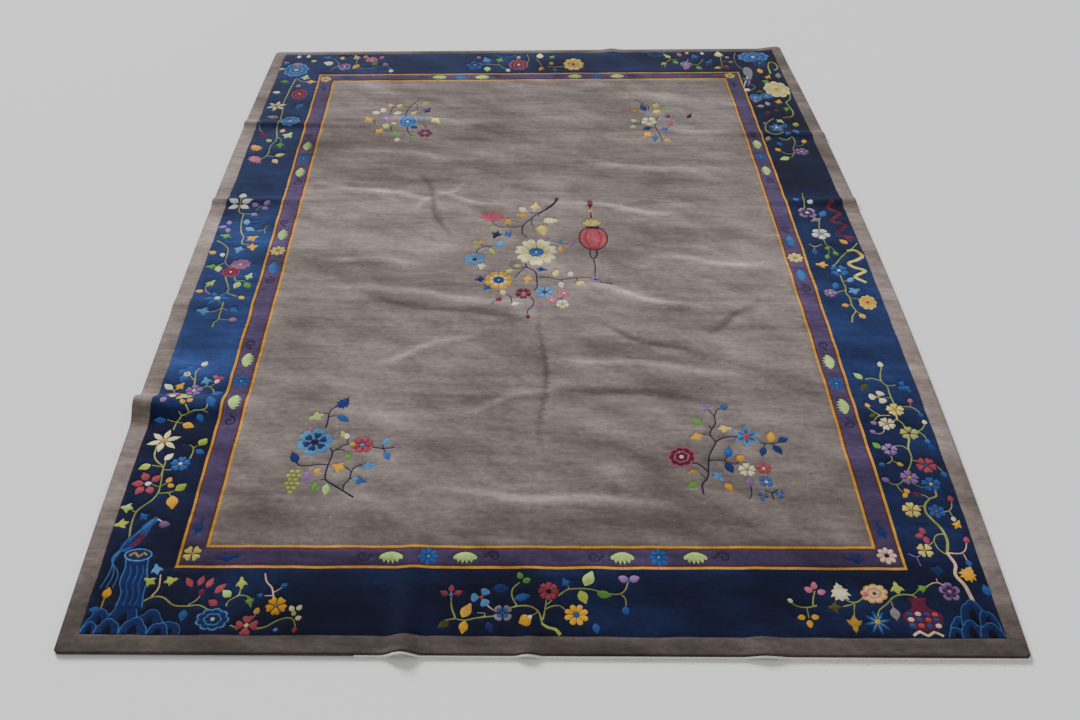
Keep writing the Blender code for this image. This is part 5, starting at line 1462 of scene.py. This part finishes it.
def shade_of(dye, across, along, vary):
    """The colour of one spot of wool, as linear red, green and blue, with its painted light and shade."""
    colour = DYES[dye]
    # The navy is painted between shaded and lit, as light and sheen on its pile, by the table and a patchy
    # noise
    if dye == "navy":
        patchy = NAVY_LIGHT_PATCHES * noise.noise(Vector((across / 26, along / 18, 1.9)))
        lit = level_at(NAVY_LIGHT_PAINTED, across, along) + patchy
        colour = mixed(SHADED_NAVY, LIT_NAVY, min(1.0, max(0.0, lit)))
    level = vary * (1 + 0.05 * noise.noise(Vector((across / 90, along / 11, 7.1))))
    # Crease ridges are painted lighter and troughs darker: painted light and shade on the creases
    crests = sum(crease_height(row, across / 100, along / 100) for row in CREASES)
    level *= 1 + CREASE_LIGHT_PAINTED * crests / CREASE_LIGHT_HEIGHT
    # The field, the bands and the motifs are painted darker along the carpet: painted shade from the lie of
    # the pile and the light
    if dye == "band":
        level *= level_at(BAND_SHADE_PAINTED, across, along)
    elif dye in ("field", "purple"):
        level *= level_at(PILE_SHADE_PAINTED, across, along)
    elif dye != "navy":
        level *= MOTIF_LOW + MOTIF_SHADE_SHARE * level_at(PILE_SHADE_PAINTED, across, along)
    return tuple((c / 255 * level) ** GAMMA for c in colour)


def top_mesh(patches):
    """Joins all patches into one plane net, and finds each face's dye."""
    verts, faces = gathered(patches)
    out = delaunay_2d_cdt([Vector(v) for v in verts], [], faces, 0, 1e-5, True)
    spots, tris, sources = out[0], out[2], out[5]
    kept = [(list(t), max(s)) for t, s in zip(tris, sources) if s]
    return [tuple(v) for v in spots], kept


def pile_mesh(name):
    patches = prepared()
    spots, kept = top_mesh(patches)
    tris = [t for t, _ in kept]
    dyes = [patches[s].dye for _, s in kept]
    grooved = between_dyes(tris, dyes)
    # Painted shade in the grooves where two dyes meet
    painted_shade = [GROOVE_SHADE if i in grooved else 1.0 for i in range(len(spots))]
    flat = [(u / 100, v / 100) for u, v in spots]
    verts = []
    for i, (across, along) in enumerate(flat):
        height = lift(across, along) + THICKNESS + relief(across, along)
        verts.append((*lie(across, along), height - (GROOVE_DEPTH if i in grooved else 0.0)))
    loop = rim_start(spots, tris)
    edge = [flat[i] for i in loop]
    for i in loop:
        verts[i] = (*lie(*flat[i]), lift(*flat[i]) + RIM[0][1])
    for inset, height in RIM[1:]:
        loop = add_ring(verts, flat, painted_shade, tris, loop, edge, inset, height)
    back_first = len(tris)
    close_back(verts, flat, painted_shade, tris, loop)
    mesh = bpy.data.meshes.new(name)
    mesh.from_pydata(verts, [], tris)
    colour_mesh(mesh, wool_colours(spots, kept, patches), painted_shade, flat, back_first)
    return mesh


def between_dyes(tris, dyes):
    """The points on an edge where two dyes meet."""
    seen = {}
    found = set()
    for tri, dye in zip(tris, dyes):
        for a, b in zip(tri, tri[1:] + tri[:1]):
            key = (min(a, b), max(a, b))
            if seen.setdefault(key, dye) != dye:
                found.update(key)
    return found


def rim_start(spots, tris):
    """The points round the edge of the top, in the same order as margin() gives them."""
    next_of = {}
    pairs = set()
    for tri in tris:
        pairs.update(zip(tri, tri[1:] + tri[:1]))
    for a, b in pairs:
        if (b, a) not in pairs:
            next_of[a] = b
    start = min(next_of, key=lambda i: spots[i][0] + spots[i][1])
    loop = [start]
    while next_of[loop[-1]] != start:
        loop.append(next_of[loop[-1]])
    return loop


def add_ring(verts, flat, painted_shade, tris, loop, edge, inset, height):
    """One more ring round the carpet's side, joined to the ring before it."""
    first = len(verts)
    shift = RIM[0][0] - inset
    middle = (NEAR_END + FAR_END) / 2
    half_length = (FAR_END - NEAR_END) / 2 - RIM[0][0]
    half_width = HALF_WIDTH - RIM[0][0]
    for u, v in edge:
        across = u * (1 + shift / half_width)
        along = middle + (v - middle) * (1 + shift / half_length)
        flat.append((across, along))
        verts.append((*lie(across, along), lift(across, along) + height))
        # the side is painted light at the top and in shade lower down
        painted_shade.append(RIM_PAINTED_LIGHT if height > RIM_TOP else RIM_PAINTED_SHADE)
    count = len(loop)
    for k in range(count):
        after = (k + 1) % count
        tris.append([loop[k], first + k, first + after])
        tris.append([loop[k], first + after, loop[after]])
    return list(range(first, first + count))


def close_back(verts, flat, painted_shade, tris, loop):
    """The woven back: a plainer net over the same folds, facing down."""
    edge = [Vector(flat[i]) for i in loop]
    room = Room(BACK_ROOM)
    for point in edge:
        room.mark(point)
    inner = [(x / 100, y / 100) for x, y in lattice(BACK_GRID, BACK_GRID / 2, lifted)]
    points = edge + [Vector(p) for p in inner if room.free(p)]
    out = delaunay_2d_cdt(points, [], [list(range(len(edge)))], 0, 1e-7, True)
    index = {}
    for new, olds in enumerate(out[3]):
        if olds and olds[0] < len(edge):
            index[new] = loop[olds[0]]
            continue
        spot = tuple(out[0][new])
        index[new] = len(verts)
        flat.append(spot)
        verts.append((*lie(*spot), lift(*spot) + BACK_HEIGHT))
        painted_shade.append(1.0)
    for tri, source in zip(out[2], out[5]):
        if source:
            tris.append([index[i] for i in reversed(tri)])


def wool_colours(spots, kept, patches):
    """The colour of every face corner of the top, each motif a little off its dye."""
    varies = []
    for i, patch in enumerate(patches):
        x, y = patch.points[0]
        off = MOTIF_VARY * noise.noise(Vector((x / 4, y / 4, 5.3)))
        varies.append(1.0 if i <= len(GROUNDS) else 1 + off)
    colours = []
    for tri, source in kept:
        for i in tri:
            colours.append((*shade_of(patches[source].dye, *spots[i], varies[source]), 1.0))
    return colours


def colour_mesh(mesh, colours, painted_shade, flat, back_first):
    """Gives the mesh its wool colours, its painted shade of the grooves and the side, smooth shading and
    map.
    """
    corners = [loop.vertex_index for loop in mesh.loops]
    for i in corners[len(colours):]:
        colours.append((*shade_of("band", flat[i][0] * 100, flat[i][1] * 100, BACK_LIGHT), 1.0))
    layer = mesh.color_attributes.new("dye", "FLOAT_COLOR", "CORNER")
    layer.data.foreach_set("color", np.array(colours, dtype=np.float32).ravel())
    shades = mesh.attributes.new("painted_shade", "FLOAT", "POINT")
    shades.data.foreach_set("value", np.array(painted_shade, dtype=np.float32))
    places = mesh.attributes.new("place", "FLOAT_VECTOR", "POINT")
    places.data.foreach_set("vector", np.array([(*p, 0.0) for p in flat], dtype=np.float32).ravel())
    values = []
    for k, i in enumerate(corners):
        u = (flat[i][0] + HALF_WIDTH) / (2 * HALF_WIDTH)
        v = (flat[i][1] - NEAR_END) / (FAR_END - NEAR_END)
        left, width = (0.01, 0.71) if k < 3 * back_first else (0.74, 0.25)
        values.append((left + width * u, 0.01 + 0.98 * v))
    layer = mesh.uv_layers.new(name="OFBake")
    layer.data.foreach_set("uv", np.array(values, dtype=np.float32).ravel())
    count = len(mesh.polygons)
    mesh.polygons.foreach_set("use_smooth", [True] * count)
    mesh.polygons.foreach_set("material_index", [0 if i < back_first else 1 for i in range(count)])


# ---------------------------------------------------------------- the torn warp ends
WEB_START = -0.530
WEB_END = 1.351
WEB_PARTS = 240
WEB_SHOWS = 0.0058
WEB_DEEP = 0.75  # of WEB_SHOWS, which the solid web takes up
WEB_LOW, WEB_HIGH = 0.0012, 0.0078
WEB_BROW = 0.85  # height of its outer top edge, of WEB_HIGH
PIECE_GAP = 0.0003
STRAND_PITCH = 0.003
STRAND_THICK = 0.0007  # half its thickness, at its root
STRAND_ROOT = 0.8  # height of its root, of WEB_HIGH
STRAND_BURIED = 0.0008
STRAND_HANGS = 0.008  # a strand longer than this droops to the floor
STRAND_SIDES = 5
STRAND_PARTS = 5
TornSection = namedtuple("TornSection", "start end shortest longest")
TORN_SECTIONS = (
    TornSection(-0.530, -0.390, 0.002, 0.006),
    TornSection(-0.300, -0.212, 0.002, 0.006),
    TornSection(-0.080, -0.035, 0.002, 0.004),
    TornSection(0.190, 0.330, 0.003, 0.007),
    TornSection(0.645, 1.351, 0.004, 0.013),
)


def fringe_mesh(name):
    """A strip of web, and single cotton strands that stand out from it."""
    verts, faces = web_strip()
    picker = random.Random(23)
    count = int((WEB_END - WEB_START) / STRAND_PITCH) - 2
    for i in range(count):
        across = WEB_START + STRAND_PITCH * (i + 1.5) + picker.uniform(-0.0008, 0.0008)
        long = WEB_SHOWS - 0.0004 + picker.uniform(0, 0.0014)
        for section in TORN_SECTIONS:
            if section.start < across < section.end:
                long += picker.uniform(section.shortest, section.longest)
        add_strand(verts, faces, across, long, picker)
    mesh = bpy.data.meshes.new(name)
    mesh.from_pydata(verts, [], faces)
    mesh.polygons.foreach_set("use_smooth", [True] * len(mesh.polygons))
    return mesh


def web_strip():
    """The band of cotton web that the strands grow from."""
    verts = []
    faces = []
    shows = WEB_SHOWS * WEB_DEEP
    brow = WEB_HIGH * WEB_BROW
    for k in range(WEB_PARTS + 1):
        across = WEB_START + (WEB_END - WEB_START) * k / WEB_PARTS
        x, y = lie(across, NEAR_END)
        height = lift(across, NEAR_END)
        for out, level in ((PIECE_GAP, WEB_LOW), (PIECE_GAP, WEB_HIGH), (shows, brow), (shows, WEB_LOW)):
            verts.append((x, y - out, height + level))
    for k in range(WEB_PARTS):
        for side in range(4):
            after = (side + 1) % 4
            faces.append((4 * k + side, 4 * k + after, 4 * k + 4 + after, 4 * k + 4 + side))
    last = 4 * WEB_PARTS
    return verts, [(3, 2, 1, 0), *faces, (last, last + 1, last + 2, last + 3)]


def add_strand(verts, faces, across, long, picker):
    """One strand, tapered and a little curled, from the brow of the web outwards and down."""
    first = len(verts)
    lean = picker.uniform(-0.35, 0.35)
    curl = picker.uniform(-0.25, 0.25)
    thick = STRAND_THICK * picker.uniform(0.8, 1.0)
    middle = WEB_HIGH * STRAND_ROOT
    x, y = lie(across, NEAR_END)
    height = lift(across, NEAR_END) + middle
    for part in range(STRAND_PARTS + 1):
        share = part / STRAND_PARTS
        out = PIECE_GAP + STRAND_BURIED + (long - STRAND_BURIED - PIECE_GAP) * share
        aside = long * (lean * share + curl * share**2)
        sag = (middle - thick) * (share**1.6 if long > STRAND_HANGS else 0.35 * share)
        girth = thick * (1 - 0.55 * share)
        for side in range(STRAND_SIDES):
            a = 2 * math.pi * side / STRAND_SIDES
            verts.append((x + aside + girth * math.cos(a), y - out, height - sag + girth * math.sin(a)))
    for part in range(STRAND_PARTS):
        for side in range(STRAND_SIDES):
            after = (side + 1) % STRAND_SIDES
            a = first + part * STRAND_SIDES
            faces.append((a + side, a + after, a + STRAND_SIDES + after, a + STRAND_SIDES + side))
    faces.append(tuple(range(first + STRAND_SIDES - 1, first - 1, -1)))
    end = first + STRAND_PARTS * STRAND_SIDES
    faces.append(tuple(range(end, end + STRAND_SIDES)))


# ---------------------------------------------------------------- materials
Streak = namedtuple("Streak", "scale_across scale_along turn detail low high")
STREAKS = (
    Streak(1.5, 9.0, 3, 3.0, 0.74, 1.26),  # long watered streaks across the carpet: abrash in the wool, and painted shading of the pile's lie
    Streak(5.5, 36.0, 2, 2.0, 0.86, 1.14),  # finer ones within them
    Streak(2.0, 2.6, 0, 3.0, 0.74, 1.26),  # patches of wear
    Streak(6.0, 11.0, 24, 4.0, 0.84, 1.16),  # smaller ones
    Streak(3.0, 13.0, 36, 2.0, 0.86, 1.14),  # strokes of trodden pile: wear, and painted sheen where the pile lies flat
    Streak(42.0, 75.0, 0, 2.0, 0.84, 1.16),  # the grain of clipped wool
)
NOISE_LOW, NOISE_HIGH = 0.30, 0.70  # between which a noise texture mostly lies
NOISE_TWIST = 0.4
TUFTS = 260.0  # to a metre
TUFT_LOW, TUFT_HIGH = 0.86, 1.12


def new_material(name):
    material = bpy.data.materials.new(name)
    material.use_nodes = True
    tree = material.node_tree
    shader = next(n for n in tree.nodes if n.type == "BSDF_PRINCIPLED")
    return material, tree, shader


def attribute(tree, name, output):
    node = tree.nodes.new("ShaderNodeAttribute")
    node.attribute_name = name
    return node.outputs[output]


def noise_layer(tree, places, scale, turn, size, detail):
    mapping = tree.nodes.new("ShaderNodeMapping")
    mapping.inputs["Scale"].default_value = (*scale, 1.0)
    turning = tree.nodes.new("ShaderNodeMapping")
    turning.inputs["Rotation"].default_value = (0, 0, math.radians(turn))
    texture = tree.nodes.new("ShaderNodeTexNoise")
    texture.inputs["Scale"].default_value = size
    texture.inputs["Detail"].default_value = detail
    texture.inputs["Distortion"].default_value = NOISE_TWIST
    tree.links.new(places, turning.inputs["Vector"])
    tree.links.new(turning.outputs["Vector"], mapping.inputs["Vector"])
    tree.links.new(mapping.outputs["Vector"], texture.inputs["Vector"])
    return texture.outputs["Fac"]


def ranged(tree, value, low, high):
    """Stretches a noise's usual values to run from low to high."""
    node = tree.nodes.new("ShaderNodeMapRange")
    node.inputs["From Min"].default_value = NOISE_LOW
    node.inputs["From Max"].default_value = NOISE_HIGH
    node.inputs["To Min"].default_value = low
    node.inputs["To Max"].default_value = high
    tree.links.new(value, node.inputs["Value"])
    return node.outputs["Result"]


def times(tree, a, b):
    node = tree.nodes.new("ShaderNodeMath")
    node.operation = "MULTIPLY"
    tree.links.new(a, node.inputs[0])
    tree.links.new(b, node.inputs[1])
    return node.outputs["Value"]


def tinted(tree, colour, value):
    """The colour times a grey value."""
    node = tree.nodes.new("ShaderNodeVectorMath")
    node.operation = "SCALE"
    tree.links.new(colour, node.inputs[0])
    tree.links.new(value, node.inputs["Scale"])
    return node.outputs["Vector"]


def bumped(tree, shader, height, strength, distance):
    node = tree.nodes.new("ShaderNodeBump")
    node.inputs["Strength"].default_value = strength
    node.inputs["Distance"].default_value = distance
    tree.links.new(height, node.inputs["Height"])
    tree.links.new(node.outputs["Normal"], shader.inputs["Normal"])


def pile_material():
    """Hand-spun wool pile: its dye, streaked by wear and abrash, with painted shading from the lie of the
    pile.
    """
    material, tree, shader = new_material("wool_pile")
    places = attribute(tree, "place", "Vector")
    # The painted shade of the grooves and the side darkens the dye
    value = attribute(tree, "painted_shade", "Fac")
    for row in STREAKS:
        layer = noise_layer(tree, places, (row.scale_across, row.scale_along), row.turn, 1.0, row.detail)
        value = times(tree, value, ranged(tree, layer, row.low, row.high))
    tufts = noise_layer(tree, places, (1.0, 1.15), 0, TUFTS, 1.0)
    value = times(tree, value, ranged(tree, tufts, TUFT_LOW, TUFT_HIGH))
    colour = tinted(tree, attribute(tree, "dye", "Color"), value)
    tree.links.new(colour, shader.inputs["Base Color"])
    bumped(tree, shader, tufts, 0.5, 0.0012)
    shader.inputs["Roughness"].default_value = 0.95
    shader.inputs["Specular IOR Level"].default_value = 0.12
    shader.inputs["Sheen Weight"].default_value = 0.06
    shader.inputs["Sheen Roughness"].default_value = 0.5
    return material


def back_material():
    """The knotted back: rows of knots with cotton between them."""
    material, tree, shader = new_material("woven_back")
    places = attribute(tree, "place", "Vector")
    rows = noise_layer(tree, places, (1.0, 6.0), 0, 90.0, 1.0)
    patches = noise_layer(tree, places, (1.0, 1.0), 0, 3.0, 2.0)
    value = times(tree, ranged(tree, rows, 0.75, 1.15), ranged(tree, patches, 0.9, 1.1))
    ground = tree.nodes.new("ShaderNodeRGB")
    ground.outputs[0].default_value = (0.30, 0.27, 0.24, 1)
    tree.links.new(tinted(tree, ground.outputs[0], value), shader.inputs["Base Color"])
    bumped(tree, shader, rows, 0.4, 0.0008)
    shader.inputs["Roughness"].default_value = 0.95
    return material


def cotton_material():
    material, tree, shader = new_material("cotton_warp")
    coordinates = tree.nodes.new("ShaderNodeTexCoord")
    fibres = noise_layer(tree, coordinates.outputs["Object"], (1.0, 1.0), 0, 240.0, 2.0)
    ground = tree.nodes.new("ShaderNodeRGB")
    ground.outputs[0].default_value = (0.95, 0.94, 0.88, 1)
    value = ranged(tree, fibres, 0.8, 1.1)
    tree.links.new(tinted(tree, ground.outputs[0], value), shader.inputs["Base Color"])
    shader.inputs["Roughness"].default_value = 0.9
    shader.inputs["Sheen Weight"].default_value = 0.2
    return material


# ---------------------------------------------------------------- camera, light and floor
CAMERA_PLACE = (-0.100, -3.183, 2.480)
CAMERA_TURN = (46.062, -1.055, -1.037)
CAMERA_LENS = 32.75
FLOOR_HALF = 14.0
FLOOR_GAP = 0.0005
FLOOR_GREY = 0.95
SUN_FROM = (-0.50, 1.0, 0.62)  # the way the light comes from: the far side, a little to the left
SUN_STRENGTH = 3.9
SUN_SPREAD = 20.0  # degrees, which makes its shadows soft
SKY = 0.46


def add_camera():
    """The camera where the carpet is seen from."""
    data = bpy.data.cameras.new("camera")
    data.lens = CAMERA_LENS
    data.sensor_width = 36
    camera = bpy.data.objects.new("camera", data)
    camera.location = CAMERA_PLACE
    camera.rotation_euler = [math.radians(a) for a in CAMERA_TURN]
    bpy.context.scene.collection.objects.link(camera)
    bpy.context.scene.camera = camera


def add_lights():
    data = bpy.data.lights.new("window", "SUN")
    data.energy = SUN_STRENGTH
    data.angle = math.radians(SUN_SPREAD)
    sun = bpy.data.objects.new("window", data)
    sun.rotation_euler = Vector(SUN_FROM).to_track_quat("Z", "Y").to_euler()
    bpy.context.scene.collection.objects.link(sun)
    world = bpy.data.worlds.new("studio")
    world.use_nodes = True
    background = world.node_tree.nodes["Background"]
    background.inputs["Color"].default_value = (1, 1, 1, 1)
    background.inputs["Strength"].default_value = SKY
    bpy.context.scene.world = world


def add_floor():
    level = CAD_BOX[0].z - FLOOR_GAP
    half = FLOOR_HALF
    mesh = bpy.data.meshes.new("floor")
    mesh.from_pydata([(-half, -half, level), (half, -half, level), (half, half, level),
        (-half, half, level)],
                     [], [(0, 1, 2, 3)])
    floor = bpy.data.objects.new("floor", mesh)
    material, _, shader = new_material("pale_floor")
    shader.inputs["Base Color"].default_value = (FLOOR_GREY, FLOOR_GREY, FLOOR_GREY, 1)
    shader.inputs["Roughness"].default_value = 0.8
    mesh.materials.append(material)
    bpy.context.scene.collection.objects.link(floor)
    return floor


def add_piece(name, mesh, *materials):
    for material in materials:
        mesh.materials.append(material)
    piece = bpy.data.objects.new(name, mesh)
    bpy.context.scene.collection.objects.link(piece)
    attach(piece, "root")
    return piece


add_camera()
add_lights()
floor = add_floor()
carpet = add_piece("rug_pile", pile_mesh("rug_pile"), pile_material(), back_material())
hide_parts("rug")
fringe = add_piece("warp_fringe", fringe_mesh("warp_fringe"), cotton_material())
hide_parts("warp_ends")
